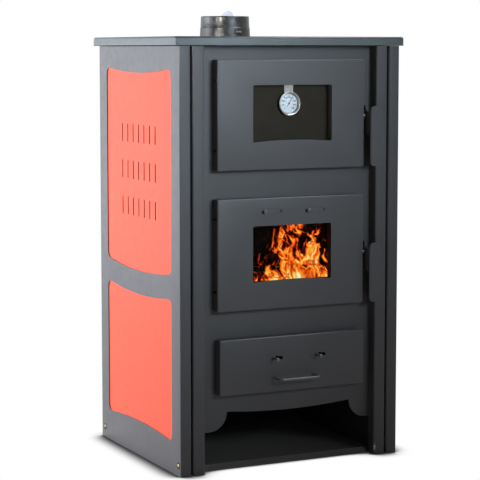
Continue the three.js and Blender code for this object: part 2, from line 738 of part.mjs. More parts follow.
function airSlots(width, z) {
  const middle = width / 2 + AIR_SLOT.shift;
  return [-1, 1].map((side) => {
    const x = middle + side * AIR_SLOT.pitch / 2;
    const half = AIR_SLOT.height / 2;
    return rectangle(x - AIR_SLOT.length / 2, x + AIR_SLOT.length / 2, z - half, z + half, half * 0.98);
  });
}

// Two angle rails behind the face that hold an air slider above and below.
function sliderRails(width, z) {
  const x0 = RAIL_INSET;
  const x1 = width - RAIL_INSET;
  const depth = DOOR_SHEET + SLIDER_SHEET + 2 * GAP;
  const edge = SLIDER_HEIGHT / 2 + GAP;
  return [-1, 1].flatMap((side) => {
    const web = [z + side * edge, z + side * (edge + SLIDER_RAIL)].sort((a, b) => a - b);
    const lip = [z + side * (edge - SLIDER_RAIL), z + side * (edge + SLIDER_RAIL)].sort((a, b) => a - b);
    return [
      box(x0, x1, DOOR_SHEET - 1, depth + RAIL_SHEET, ...web),
      box(x0, x1, depth, depth + RAIL_SHEET, ...lip),
    ];
  });
}

// Hinge ears over and under each lug, and the notches that the lugs pass through.
function hingeEars(height) {
  const reach = HINGE_INSET + 8;
  const near = DOOR_SHEET - 1;
  return [HINGE_RISE, height - HINGE_RISE].flatMap((z) => [-1, 1].map((side) => {
    const middle = z + side * (LUG_THICKNESS / 2 + RUNNING_CLEARANCE + EAR_THICKNESS / 2);
    return box(near, reach, near, reach, middle - EAR_THICKNESS / 2, middle + EAR_THICKNESS / 2);
  }));
}

function hingeCuts(height) {
  const notch = LUG_THICKNESS / 2 + 2 * RUNNING_CLEARANCE;
  const pin = LUG_THICKNESS / 2 + RUNNING_CLEARANCE + EAR_THICKNESS + 1;
  return [HINGE_RISE, height - HINGE_RISE].flatMap((z) => [
    box(-1, DOOR_SHEET + 0.01, DOOR_SHEET, DOOR_BOX + 1, z - notch, z + notch),
    rod('z', PIN_RADIUS + RUNNING_CLEARANCE, z - pin, z + pin, [HINGE_INSET, HINGE_INSET], 16),
  ]);
}

function doorShell(height, slotLevel) {
  const window = archedRectangle(
    WINDOW_LEFT,
    WINDOW_LEFT + WINDOW_WIDTH,
    WINDOW.rise,
    WINDOW.rise + WINDOW.height,
    WINDOW.arch,
    0,
    WINDOW.corner,
  );
  const throughFace = (shape, facets) => alongY(shape, -1, DOOR_SHEET + 1, facets);
  let shell = join(pressedTray(DOOR_WIDTH, height), ...hingeEars(height));
  if (slotLevel) shell = join(shell, ...sliderRails(DOOR_WIDTH, slotLevel));
  const slots = slotLevel ? airSlots(DOOR_WIDTH, slotLevel).map((slot) => throughFace(slot, 1)) : [];
  return cut(shell, throughFace(window, 5), ...slots, ...hingeCuts(height));
}

// The deep frame between face and glass: a sleeve round the window with a flange at its back.
function glassFrame() {
  const back = GLASS_FRONT - GAP;
  const sheet = DOOR_SHEET - 0.5;
  return cut(
    join(
      alongY(windowRectangle(1 + sheet, 3), DOOR_SHEET + GAP, back, 1),
      alongY(windowRectangle(GLASS_OVERLAP, 3), back - sheet, back, 1),
    ),
    alongY(windowRectangle(1, 1), 0, back + 1, 1),
  );
}

function doorGlass() {
  return alongY(windowRectangle(GLASS_OVERLAP, 3), GLASS_FRONT, GLASS_FRONT + GLASS_THICKNESS, 1);
}

// The back sheet that clamps the glass. Its left edge stays clear of the hinge lugs.
function doorLiner(height) {
  const edge = DOOR_SHEET + GAP;
  const left = HINGE_INSET + LUG_RADIUS + 6.5;
  const sheet = rectangle(left, DOOR_WIDTH - edge, edge, height - edge, 2);
  return cut(
    alongY(sheet, LINER_FRONT, LINER_FRONT + LINER_SHEET, 1),
    alongY(windowRectangle(4, 4), LINER_FRONT - 1, LINER_FRONT + LINER_SHEET + 1, 1),
  );
}

// The flat rope between the door's back sheet and the front plate, round the opening.
function doorSeal(height) {
  const y0 = DOOR_BOX + GAP;
  const y1 = PLATE_SETBACK - GAP;
  const ring = (inset, corner) => rectangle(inset, DOOR_WIDTH - inset, inset, height - inset, corner);
  const inner = OPENING_INSET - 3;
  return cut(
    alongY(ring(inner - SEAL_WIDTH, 10), y0, y1, 2),
    alongY(ring(inner, 6), y0 - 1, y1 + 1, 2),
  );
}

// The shouldered stud that carries a handle, turned about X.
function handlePivot() {
  const { rise, depth, radius, collar } = HANDLE_PIVOT;
  const x0 = DOOR_WIDTH + GAP;
  const x1 = DOOR_WIDTH + HANDLE_GAP - GAP;
  const x2 = DOOR_WIDTH + HANDLE_GAP + HANDLE_SHEET + GAP;
  const head = 2.5;
  return turned('x', [
    [0, x0],
    [collar, x0],
    [collar, x1],
    [radius, x1],
    [radius, x2],
    [collar - 0.5, x2],
    [collar - 0.5, x2 + head],
    [0, x2 + head],
  ], 16).translate(0, depth, HANDLE_RISE + rise);
}

// A gravity latch bent from one plate: the blade in front, the arm beside the door and the
// nose that passes through the front plate.
function doorHandle() {
  const { rise, depth, radius } = HANDLE_PIVOT;
  const arm = DOOR_WIDTH + HANDLE_GAP;
  const front = -HANDLE_STANDOFF;
  const bend = HANDLE_SHEET + 1.5;
  const low = HANDLE_RISE;
  const high = low + HANDLE_HEIGHT;
  const pivot = low + rise;
  const noseEnd = PLATE_SETBACK + PLATE_SHEET + NOSE.reach;
  const noseRoot = PLATE_SETBACK - DOOR_STANDOFF;
  const profile = foldedSheet(
    [[arm, noseEnd + 1], [arm, front], [arm + HANDLE_WIDTH, front]],
    HANDLE_SHEET,
    [bend],
  );
  const bladeShape = new THREE.Shape();
  const right = arm + HANDLE_WIDTH;
  bladeShape.moveTo(arm - 1, low + 12);
  bladeShape.quadraticCurveTo(arm, low, arm + 13, low);
  bladeShape.quadraticCurveTo(right - 4, low, right - 3, low + 16);
  bladeShape.quadraticCurveTo(right + 3, (low + high) / 2, right - 5, high - 16);
  bladeShape.quadraticCurveTo(right - 8, high, right - 19, high);
  bladeShape.quadraticCurveTo(arm, high, arm - 1, high - 12);
  bladeShape.closePath();
  const armShape = outline([
    [front - 1, pivot - HANDLE_ARM.drop],
    [front + HANDLE_ARM.foot, pivot - HANDLE_ARM.drop],
    [noseRoot - 5, pivot - HANDLE_ARM.heel],
    [noseRoot, pivot - NOSE.drop],
    [noseEnd, pivot - NOSE.drop],
    [noseEnd, pivot + NOSE.rise],
    [noseRoot, pivot + HANDLE_ARM.crown],
    [front - 1, pivot + HANDLE_ARM.root],
  ], [0, 8, 8, 2, 3, 3, 5, 0]);
  const plate = alongZ(profile, low - 1, high + 1);
  const bladeBack = front + bend + 0.5;
  return cut(
    join(
      plate.intersect(alongY(bladeShape, front - 1, bladeBack, 7)),
      plate.intersect(alongX(armShape, arm - 1, arm + HANDLE_SHEET + bend, 5)),
    ),
    rod('x', radius + RUNNING_CLEARANCE, arm - 1, arm + HANDLE_SHEET + 1, [depth, pivot], 20),
    box(arm - 2, arm + HANDLE_SHEET + 2, front + HANDLE_SHEET, bladeBack + 1,
      low - 1, pivot - HANDLE_ARM.drop - 2),
  );
}

// A slider plate with two windows and two knobs whose stems pass through the air slots.
// The windows run from the given start to the given end, measured from each stem.
function airSlider(width, z, stemShift, windowSpan, knob) {
  const middle = width / 2 + AIR_SLOT.shift;
  const stems = [-1, 1].map((side) => middle + side * AIR_SLOT.pitch / 2 + stemShift);
  const y0 = DOOR_SHEET + GAP;
  const y1 = y0 + SLIDER_SHEET;
  const left = stems[0] + Math.min(windowSpan[0], -AIR_SLOT.length / 2) - 8;
  const right = stems[1] + Math.max(windowSpan[1], AIR_SLOT.length) + 4;
  let slider = box(left, right, y0, y1, z - SLIDER_HEIGHT / 2, z + SLIDER_HEIGHT / 2);
  for (const x of stems) {
    const window = rectangle(x + windowSpan[0], x + windowSpan[1], z - 5, z + 5, 2);
    slider = slider.subtract(alongY(window, y0 - 1, y1 + 1, 1));
    const turnedKnob = turned('y', [
      [0, -knob.reach],
      [0, y1 - 0.5],
      [STEM_RADIUS, y1 - 0.5],
      [STEM_RADIUS, knob.head - knob.reach],
      [knob.radius - 0.8, knob.head - knob.reach],
      [knob.radius, knob.head - knob.reach - 0.8],
      [knob.radius, 1 - knob.reach],
      [knob.radius - 1, -knob.reach],
    ], 12);
    slider = slider.add(turnedKnob.translate(x, 0, z));
  }
  return slider;
}

// A lug and its pin on the front plate, drawn about the pin.
function hingeLug() {
  const half = LUG_THICKNESS / 2;
  const pin = half + RUNNING_CLEARANCE + EAR_THICKNESS + RUNNING_CLEARANCE;
  const back = PLATE_SETBACK - HINGE_INSET - GAP;
  const arm = outline([
    [0.5, -LUG_RADIUS + 0.6],
    [LUG_RADIUS + 5, 3],
    [LUG_RADIUS + 5, back],
    [2.5, back],
    [2.5, LUG_RADIUS],
    [-2, LUG_RADIUS - 0.8],
  ]);
  return join(
    rod('z', LUG_RADIUS, -half, half, [0, 0], 16),
    alongZ(arm, -half, half),
    rod('z', PIN_RADIUS, -pin, pin, [0, 0], 12),
  );
}

function addHinges(name, door) {
  const levels = { lower: HINGE_RISE, upper: door.height - HINGE_RISE };
  for (const [end, rise] of Object.entries(levels)) {
    const hinge = new THREE.Group();
    hinge.position.set(DOOR_LEFT + HINGE_INSET, FRONT + HINGE_INSET, door.bottom + rise);
    add(hinge, `${name}_hinge_${end}`, hingeLug(), RAW_STEEL);
    stove.add(hinge);
  }
}

function addDoor(name, door, slotLevel) {
  const group = new THREE.Group();
  group.position.set(DOOR_LEFT, FRONT, door.bottom);
  add(group, `${name}_door_shell`, doorShell(door.height, slotLevel), PAINT);
  add(group, `${name}_glass_frame`, glassFrame(), PAINT);
  add(group, `${name}_door_glass`, doorGlass(), GLASS);
  add(group, `${name}_door_liner`, doorLiner(door.height), RAW_STEEL);
  add(group, `${name}_door_seal`, doorSeal(door.height), ROPE);
  add(group, `${name}_handle_pivot`, handlePivot(), RAW_STEEL);
  add(group, `${name}_door_handle`, doorHandle(), PAINT);
  addHinges(name, door);
  stove.add(group);
  return group;
}

// ---------------------------------------------------------------- oven thermometer

// The pieces are turned about Y from the bezel's front plane, with the dial's centre at the origin.

const DIAL_DEPTH = BEZEL_DEPTH - 1.7; // front plane to the dial's face
const BOWL_FLOOR = BEZEL_DEPTH - 1;

function thermometerCase() {
  const tube = DIAL_RADIUS + 1.6;
  return turned('y', [
    [0, BOWL_FLOOR],
    [DIAL_RADIUS + 0.5, BOWL_FLOOR],
    [DIAL_RADIUS + 0.7, DIAL_DEPTH - 2.8],
    [BEZEL_RADIUS - 1.6, 0.7],
    [BEZEL_RADIUS - 0.8, 0],
    [BEZEL_RADIUS, 0.7],
    [BEZEL_RADIUS - 0.2, 1.8],
    [tube + 0.4, 4.4],
    [tube, BEZEL_DEPTH],
    [0, BEZEL_DEPTH],
  ], 36);
}

function thermometerDial() {
  return rod('y', DIAL_RADIUS, DIAL_DEPTH, BOWL_FLOOR - GAP, [0, 0], 36);
}

function thermometerLens() {
  const front = DIAL_DEPTH - 2.6;
  return rod('y', DIAL_RADIUS + 0.2, front, front + 0.8, [0, 0], 36);
}

// A pointer with a round hub and a balancing tail, upright in its own group.
function thermometerNeedle() {
  const back = DIAL_DEPTH - GAP;
  const tip = DIAL_RADIUS * 0.82;
  const tail = DIAL_RADIUS * 0.42;
  const blade = outline([[-1.4, -tail], [1.4, -tail], [0.9, 0], [0.35, tip], [-0.35, tip], [-0.9, 0]]);
  return join(alongY(blade, back - 0.6, back), rod('y', 2.2, back - 1.2, back, [0, 0], 14));
}

// The strap that hangs the case from the top of the glass frame.
function thermometerStrap() {
  const back = BEZEL_DEPTH;
  const top = WINDOW.rise + WINDOW.height + 1 - DIAL_HEIGHT - GAP;
  const half = STRAP_WIDTH / 2;
  const line = [[back, DIAL_RADIUS + 2.2], [back, top], [back - 9, top]];
  return alongX(foldedSheet(line, STRAP_SHEET, [2]), -half, half);
}

function addThermometer(door) {
  const group = new THREE.Group();
  const x = DIAL_SHIFT - DOOR_LEFT;
  group.position.set(x, GLASS_FRONT - GAP - BEZEL_DEPTH, DIAL_HEIGHT);
  add(group, 'thermometer_case', thermometerCase(), STAINLESS);
  add(group, 'thermometer_dial', thermometerDial(), DIAL);
  add(group, 'thermometer_lens', thermometerLens(), GLASS);
  add(group, 'thermometer_strap', thermometerStrap(), STAINLESS);
  const pointer = new THREE.Group();
  pointer.rotation.y = THREE.MathUtils.degToRad(NEEDLE_ANGLE);
  add(pointer, 'thermometer_needle', thermometerNeedle(), RED);
  group.add(pointer);
  door.add(group);
}

// ---------------------------------------------------------------- ash drawer

const DRAWER_SLOT_RISE = DRAWER_HEIGHT - DRAWER_SLOT_DROP;

function drawerFront() {
  const slots = airSlots(DRAWER_WIDTH, DRAWER_SLOT_RISE).map((slot) => alongY(slot, -1, DOOR_SHEET + 1, 1));
  return cut(
    join(pressedTray(DRAWER_WIDTH, DRAWER_HEIGHT), ...sliderRails(DRAWER_WIDTH, DRAWER_SLOT_RISE)),
    ...slots,
  );
}

// The ash pan, open at the top, with its front wall against the drawer's face.
function ashPan() {
  const x0 = DRAWER_OPENING_INSET + PAN_CLEARANCE;
  const x1 = DRAWER_WIDTH - x0;
  const y0 = DOOR_SHEET + GAP;
  const y1 = y0 + PAN_LENGTH;
  const z0 = DRAWER_OPENING_INSET;
  const z1 = z0 + PAN_HEIGHT;
  return cut(
    box(x0, x1, y0, y1, z0, z1),
    box(x0 + PAN_SHEET, x1 - PAN_SHEET, y0 + PAN_SHEET, y1 - PAN_SHEET, z0 + PAN_SHEET, z1 + 1),
  );
}

// A bail bent from round wire.
function drawerHandle() {
  const { span, shift, reach, radius, bend, rise } = BAIL;
  const left = DRAWER_WIDTH / 2 + shift - span / 2;
  const right = left + span;
  const bar = -reach;
  const point = (x, y) => new THREE.Vector3(x, y, rise);
  const line = (from, to) => new THREE.LineCurve3(point(...from), point(...to));
  const turn = (from, corner, to) =>
    new THREE.QuadraticBezierCurve3(point(...from), point(...corner), point(...to));
  const route = new THREE.CurvePath();
  route.add(line([left, -GAP], [left, bar + bend]));
  route.add(turn([left, bar + bend], [left, bar], [left + bend, bar]));
  route.add(line([left + bend, bar], [right - bend, bar]));
  route.add(turn([right - bend, bar], [right, bar], [right, bar + bend]));
  route.add(line([right, bar + bend], [right, -GAP]));
  const wire = new THREE.Shape();
  wire.absarc(0, 0, radius, 0, 2 * Math.PI, false);
  return solid(new THREE.ExtrudeGeometry(wire, { steps: 34, curveSegments: 5, extrudePath: route }));
}

function addAshDrawer() {
  const drawer = new THREE.Group();
  drawer.position.set(DRAWER_LEFT, FRONT, DRAWER_BOTTOM);
  add(drawer, 'ash_drawer_front', drawerFront(), PAINT);
  add(drawer, 'ash_pan', ashPan(), RAW_STEEL);
  add(drawer, 'drawer_handle', drawerHandle(), PAINT);
  const slider = airSlider(DRAWER_WIDTH, DRAWER_SLOT_RISE, 0, [5, 23], DRAWER_KNOB);
  add(drawer, 'drawer_air_slider', slider, RAW_STEEL);
  stove.add(drawer);
}

// ---------------------------------------------------------------- oven

const OVEN_LEFT = DOOR_LEFT + OPENING_INSET;
const OVEN_RIGHT = DOOR_RIGHT - OPENING_INSET;
const OVEN_BOTTOM = OVEN_DOOR.bottom + OPENING_INSET;
const OVEN_TOP = OVEN_DOOR.bottom + OVEN_DOOR.height - OPENING_INSET;
const OVEN_BACK = INSIDE_FRONT + OVEN_DEPTH;
const RACK_LEVEL = OVEN_BOTTOM + (OVEN_TOP - OVEN_BOTTOM) * RACK.level;

// The oven's box, open to its door, with a ledge on each side wall for the rack.
function ovenBox() {
  const s = OVEN_SHEET;
  const ledge = (x0, x1) => box(x0, x1, INSIDE_FRONT, OVEN_BACK - 1, RACK_LEVEL - 3, RACK_LEVEL);
  return join(
    cut(
      box(OVEN_LEFT - s, OVEN_RIGHT + s, INSIDE_FRONT, OVEN_BACK, OVEN_BOTTOM - s, OVEN_TOP + s),
      box(OVEN_LEFT, OVEN_RIGHT, INSIDE_FRONT - 1, OVEN_BACK - s, OVEN_BOTTOM, OVEN_TOP),
    ),
    ledge(OVEN_LEFT - 1, OVEN_LEFT + RACK.ledge),
    ledge(OVEN_RIGHT - RACK.ledge, OVEN_RIGHT + 1),
  );
}

function ovenRack() {
  const x0 = OVEN_LEFT + RACK.wire + 2;
  const x1 = OVEN_RIGHT - RACK.wire - 2;
  const y1 = OVEN_BACK - OVEN_SHEET - RACK.wire - 2;
  const y0 = y1 - RACK.depth;
  const z = RACK_LEVEL + GAP + RACK.wire;
  const sides = 8;
  let rack = join(
    rod('y', RACK.wire, y0, y1, [x0, z], sides),
    rod('y', RACK.wire, y0, y1, [x1, z], sides),
    rod('x', RACK.wire, x0, x1, [y0, z], sides),
    rod('x', RACK.wire, x0, x1, [y1, z], sides),
  );
  for (let i = 1; i <= RACK.bars; i += 1) {
    const x = x0 + (x1 - x0) * i / (RACK.bars + 1);
    rack = rack.add(rod('y', RACK.bar, y0, y1, [x, z], 6));
  }
  return rack;
}

// ---------------------------------------------------------------- firebox and ash chamber

function hearthPlate() {
  const z0 = HEARTH_TOP - HEARTH_THICKNESS;
  const halfX = GRATE.width / 2 + GAP;
  const halfY = GRATE.depth / 2 + GAP;
  return cut(
    box(-INSIDE_SIDE, INSIDE_SIDE, INSIDE_FRONT, INSIDE_BACK, z0, HEARTH_TOP),
    box(-halfX, halfX, -halfY, halfY, HEARTH_TOP - HEARTH_THICKNESS / 2, HEARTH_TOP + 1),
    box(-halfX + GRATE.flange, halfX - GRATE.flange, -halfY + GRATE.flange, halfY - GRATE.flange,
      z0 - 1, HEARTH_TOP + 1),
  );
}

// A drop-in cast grate: a rim on the hearth's ledge and deep bars between its slots.
function fireGrate() {
  const seat = HEARTH_TOP - HEARTH_THICKNESS / 2 + GAP;
  const x1 = GRATE.width / 2;
  const y1 = GRATE.depth / 2;
  const inset = GRATE.flange + 2 * GAP;
  let grate = join(
    box(-x1, x1, -y1, y1, seat, HEARTH_TOP),
    box(-x1 + inset, x1 - inset, -y1 + inset, y1 - inset, seat - GRATE.drop, HEARTH_TOP),
  );
  const pitch = (2 * x1 - 2 * inset) / GRATE.slots;
  for (let i = 0; i < GRATE.slots; i += 1) {
    const x = -x1 + inset + pitch * (i + 0.5);
    const half = GRATE.slotWidth / 2;
    const slotReach = y1 - inset - 8;
    const slot = box(x - half, x + half, -slotReach, slotReach, seat - GRATE.drop - 1, HEARTH_TOP + 1);
    grate = grate.subtract(slot);
  }
  return grate;
}

const BRICK_FOOT = HEARTH_TOP + GAP;
const BRICK_CROWN = BRICK_FOOT + BRICK_HEIGHT;

function sideBrick() {
  const x0 = -INSIDE_SIDE;
  return box(x0, x0 + BRICK_THICKNESS, INSIDE_FRONT + GAP, INSIDE_BACK, BRICK_FOOT, BRICK_CROWN);
}

function backBrick() {
  const x1 = INSIDE_SIDE - BRICK_THICKNESS - GAP;
  return box(-x1, x1, INSIDE_BACK - BRICK_THICKNESS, INSIDE_BACK, BRICK_FOOT, BRICK_CROWN);
}

// The bar that keeps the logs off the door, with a foot folded back on the hearth.
function logGuard() {
  const y0 = INSIDE_FRONT + GAP;
  const z0 = BRICK_FOOT;
  const line = [[y0, z0 + GUARD.height], [y0, z0], [y0 + GUARD.foot, z0]];
  const sheet = foldedSheet(line, BODY_SHEET, [BODY_SHEET + 1]);
  return alongX(sheet, OVEN_LEFT - GUARD.overlap, OVEN_RIGHT + GUARD.overlap);
}

// The plate that rests on the side bricks and turns the smoke round the oven from behind.
function smokeBaffle() {
  const z0 = BRICK_CROWN + GAP;
  return box(-INSIDE_SIDE, INSIDE_SIDE, INSIDE_FRONT, INSIDE_BACK - BAFFLE_SLOT, z0, z0 + BODY_SHEET);
}

// The floor of the ash chamber, with a guide on each side of the pan.
function ashShelf() {
  const top = DRAWER_BOTTOM + DRAWER_OPENING_INSET - GAP;
  const left = DRAWER_LEFT + DRAWER_OPENING_INSET;
  const right = DRAWER_LEFT + DRAWER_WIDTH - DRAWER_OPENING_INSET;
  const guide = (x) => box(x, x + BASE_SHEET, INSIDE_FRONT, INSIDE_BACK, top - 1, top + PAN_HEIGHT / 2);
  return join(
    box(-INSIDE_SIDE, INSIDE_SIDE, INSIDE_FRONT, INSIDE_BACK, top - BASE_SHEET, top),
    guide(left - BASE_SHEET),
    guide(right),
  );
}

// ---------------------------------------------------------------- assembly

addPair(stove, 'side_casing', sideCasing(), PAINT);
addPair(stove, 'upper_side_panel', ventedPanel(), CORAL);
addPair(stove, 'lower_side_panel', sidePanel(LOWER_CUTOUT), CORAL);
add(stove, 'back_panel', backPanel(), PAINT);
addPair(stove, 'inner_post', innerPost(), PAINT);
add(stove, 'front_plate', frontPlate(), PAINT);
addPair(stove, 'body_wall', bodySideWall(), RAW_STEEL);
add(stove, 'body_wall_back', bodyBackWall(), RAW_STEEL);
add(stove, 'base_plate', basePlate(), PAINT);
add(stove, 'top_frame', topFrame(), PAINT);
add(stove, 'cooking_plate', cookingPlate(), CAST);
add(stove, 'cooking_lid', cookingLid(), CAST);
add(stove, 'flue_collar', flueCollar(), CAST);
addDamper();

const ovenDoor = addDoor('oven', OVEN_DOOR, 0);
addThermometer(ovenDoor);
const fireSlotLevel = FIRE_DOOR.height - FIRE_SLOT_DROP;
const fireDoor = addDoor('fire', FIRE_DOOR, fireSlotLevel);
const stemAtLeft = STEM_RADIUS + RUNNING_CLEARANCE - AIR_SLOT.length / 2;
const closedWindows = [-AIR_SLOT.length + STEM_RADIUS + 2, -STEM_RADIUS - 2];
add(fireDoor, 'fire_air_slider',
  airSlider(DOOR_WIDTH, fireSlotLevel, stemAtLeft, closedWindows, FIRE_KNOB), RAW_STEEL);
addAshDrawer();

add(stove, 'oven_box', ovenBox(), RAW_STEEL);
add(stove, 'oven_rack', ovenRack(), STAINLESS);
add(stove, 'smoke_baffle', smokeBaffle(), RAW_STEEL);
addPair(stove, 'firebrick', sideBrick(), BRICK);
add(stove, 'firebrick_back', backBrick(), BRICK);
add(stove, 'hearth_plate', hearthPlate(), CAST);
add(stove, 'fire_grate', fireGrate(), CAST);
add(stove, 'log_guard', logGuard(), CAST);
add(stove, 'ash_shelf', ashShelf(), RAW_STEEL);

export default stove;
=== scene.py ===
import json
import math
import random

import bmesh
import bpy
from mathutils import Matrix, Vector


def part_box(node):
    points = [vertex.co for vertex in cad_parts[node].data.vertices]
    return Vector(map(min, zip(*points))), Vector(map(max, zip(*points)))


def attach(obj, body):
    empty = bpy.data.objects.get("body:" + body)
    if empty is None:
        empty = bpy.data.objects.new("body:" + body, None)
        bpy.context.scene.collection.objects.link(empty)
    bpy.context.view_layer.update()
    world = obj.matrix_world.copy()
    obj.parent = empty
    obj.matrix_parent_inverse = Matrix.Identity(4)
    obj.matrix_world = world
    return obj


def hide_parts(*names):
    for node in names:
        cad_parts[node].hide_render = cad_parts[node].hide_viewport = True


bl_info = {
    "name": "Wood Cookstove",
    "version": (1, 0, 0),
    "blender": (4, 5, 0),
    "location": "View3D > Sidebar > Cookstove",
    "description": "Finishes the cookstove: paint, enamel, glass, fire, dial, fasteners and stage",
    "category": "Object",
}

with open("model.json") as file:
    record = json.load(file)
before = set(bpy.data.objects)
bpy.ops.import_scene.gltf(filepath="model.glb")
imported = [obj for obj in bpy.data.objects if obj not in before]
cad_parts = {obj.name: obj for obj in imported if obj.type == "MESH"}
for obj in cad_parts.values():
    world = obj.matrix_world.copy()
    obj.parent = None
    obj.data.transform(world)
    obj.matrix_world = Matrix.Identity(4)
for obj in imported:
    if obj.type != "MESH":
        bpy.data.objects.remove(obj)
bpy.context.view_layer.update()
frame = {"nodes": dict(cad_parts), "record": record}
MM = 0.001

BODY_OF = {node: body for body, nodes in frame["record"]["behaviour"]["bodies"].items() for node in nodes}
SLOT_OF = {part["node"]: part["material_slot"] for part in frame["record"]["subparts"]}

# Nodes by piece, in the order in which they are finished.
SHEETS = (
    "side_casing_left side_casing_right back_panel inner_post_left front_plate top_frame base_plate "
    "body_wall_left body_wall_right body_wall_back inner_post_right"
).split()
SIDE_PANELS = (
    "upper_side_panel_left upper_side_panel_right lower_side_panel_left lower_side_panel_right"
).split()
DOORS = (
    "oven_door_shell oven_glass_frame oven_door_liner oven_hinge_lower oven_hinge_upper "
    "fire_door_shell fire_glass_frame fire_door_liner fire_hinge_lower fire_hinge_upper"
).split()
LATCHES = "oven_door_handle oven_handle_pivot fire_door_handle fire_handle_pivot".split()
DRAWER = "ash_drawer_front ash_pan drawer_handle".split()
SLIDERS = {"fire_air_slider": "fire_door_shell", "drawer_air_slider": "ash_drawer_front"}
FIREBRICKS = "firebrick_left firebrick_right firebrick_back".split()
FIREBOX = "smoke_baffle hearth_plate fire_grate log_guard ash_shelf".split()

# Nodes whose finish isn't the one that their slot is named for.
FINISH_OF = {
    "top_frame": "lit_top_paint", "base_plate": "pale_base_paint", "inner_post_right": "chipped_paint",
    "body_wall_left": "soot_and_shade_steel", "body_wall_right": "soot_and_shade_steel", "body_wall_back": "soot_and_shade_steel",
    "oven_door_shell": "door_paint", "oven_glass_frame": "lit_frame_brown", "oven_door_glass": "oven_glass",
    "fire_door_shell": "door_paint", "fire_glass_frame": "black_frame_and_shade", "fire_door_liner": "soot_and_shade_steel",
    "oven_handle_pivot": "dark_screw", "fire_handle_pivot": "dark_screw",
    "thermometer_strap": "bezel_steel", "ash_drawer_front": "door_paint", "drawer_handle": "lit_bail_paint",
    "fire_air_slider": "slider_paint", "drawer_air_slider": "slider_paint", "damper_disc": "damper_steel",
    "damper_spindle": "knob_steel", "log_guard": "char_and_shade", "smoke_baffle": "char_and_shade",
}

# Shapes with rows of slots keep their triangles, and folded sheets get their own radius at the bends.
SLOTTED = "upper_side_panel_left upper_side_panel_right back_panel fire_grate".split()
FOLDED = (
    "side_casing_left side_casing_right inner_post_left inner_post_right top_frame oven_door_shell "
    "fire_door_shell ash_drawer_front back_panel"
).split()

# Edges steeper than these stay sharp, and faces turned less than the last are one face, in degrees.
SHARP, TURNED_SHARP, GROWN_SHARP, BARK_SHARP, ROPE_SHARP, FLAT = 38.0, 32.0, 35.0, 50.0, 80.0, 0.4
SAME_PLACE = 0.01 * MM  # points closer than this are one
SHEET_RIM = 4 * MM  # faces narrower than this are a sheet's cut rim
THIN_EDGE = 0.3 * MM  # rounding of thin or small pieces
CAST_EDGE = 0.6 * MM  # rounding of cast and thick pieces

INK_THICKNESS = 0.06 * MM
TICK_RING, NUMBER_RING = 0.9, 0.68  # where the dial's marks and numbers stand, as shares of its radius
TEXT_SIZE_PER_HEIGHT = 1.35
NEEDLE_HUB = 2.3 * MM  # the needle's tail is pale from this far off its pivot

LOGS = (  # middle above the bed, turn in degrees, length
    ((0.0, -0.055, 0.0), 4, 0.30),
    ((0.01, 0.03, 0.0), -7, 0.29),
    ((0.115, -0.012, 0.043), 9, 0.13),
)
FLAME_FRONT = -0.15  # the front flame sheet's place on y
FLAME_GAP = 0.035  # from one flame sheet to the next
FLAME_FOOT = 0.034  # the flames' lower edge above the bed
FLAME_LEFT, FLAME_SHIFT, FLAME_WIDTH = -0.062, 0.017, 0.212  # each next sheet stands farther right
FLAME_OUTLINE = (  # across the sheet, height
    (0.0, 0.03), (0.08, 0.16), (0.15, 0.0), (0.23, 0.22), (0.33, 0.36), (0.4, 1.02), (0.56, 1.0),
    (0.63, 0.5), (0.7, 0.88), (0.78, 0.8), (0.85, 0.36), (0.93, 0.3), (1.0, 0.1),
)

SENSOR_WIDTH = 36.0
CAMERA_SHIFT = -20.0 / 480.0  # 20 of the frame's 480 pixels
FLOOR_SIZE = 9.0
FLOOR_DROP = 0.5 * MM  # the floor lies this far below the base, so that they don't share a plane
LAMPS = (  # name, place, size, tint, what it is aimed at, spread in degrees, what doesn't show it
    ("Key", (0.15, -2.3, 1.5), (1.2, 1.2), (0.73, 0.88, 1.0), (-0.42, -0.24, 1.08), 42, None),
    ("Side", (-2.4, 1.0, 1.0), (1.6, 1.8), (0.84, 0.9, 1.0), (-0.28, 0, 0.55), 180, None),
    ("Sheen", (-2.0, 2.2, 0.75), (2.6, 1.6), (0.86, 0.93, 1.0), (0, 0, 0.5), 180, None),
    ("Top", (0.75, -0.65, 2.3), (1.1, 0.8), (0.86, 0.95, 1.0), (0, -0.24, 0.6), 180, "visible_diffuse"),
    ("Glint", (-2.3, -1.6, 1.03), (0.5, 0.3), (1.0, 0.94, 0.88), (0, 0.11, 1.0), 8, "visible_diffuse"),
    ("Fill", (2.4, 1.0, 1.0), (1.6, 1.8), (0.88, 0.93, 1.0), (0.28, 0, 0.55), 180, "visible_glossy"),
)


# ---------------------------------------------------------------- settings


def colour(name, default, description):
    return bpy.props.FloatVectorProperty(
        name=name, subtype="COLOR", size=3, min=0.0, max=1.0, default=default, description=description
    )


def length(name, default, description):
    return bpy.props.FloatProperty(
        name=name, unit="LENGTH", min=0.0, precision=5, default=default, description=description
    )


def number(name, default, description, high=10.0):
    return bpy.props.FloatProperty(name=name, min=0.0, max=high, default=default, description=description)


def power(name, default, lamp):
    return number(name, default, f"Power of the {lamp}, in watts", 2000.0)


def angle(name, degrees, description):
    return bpy.props.FloatProperty(
        name=name, subtype="ANGLE", default=math.radians(degrees), description=description
    )


def count(name, default, description, low=1, high=400):
    return bpy.props.IntProperty(name=name, min=low, max=high, default=default, description=description)


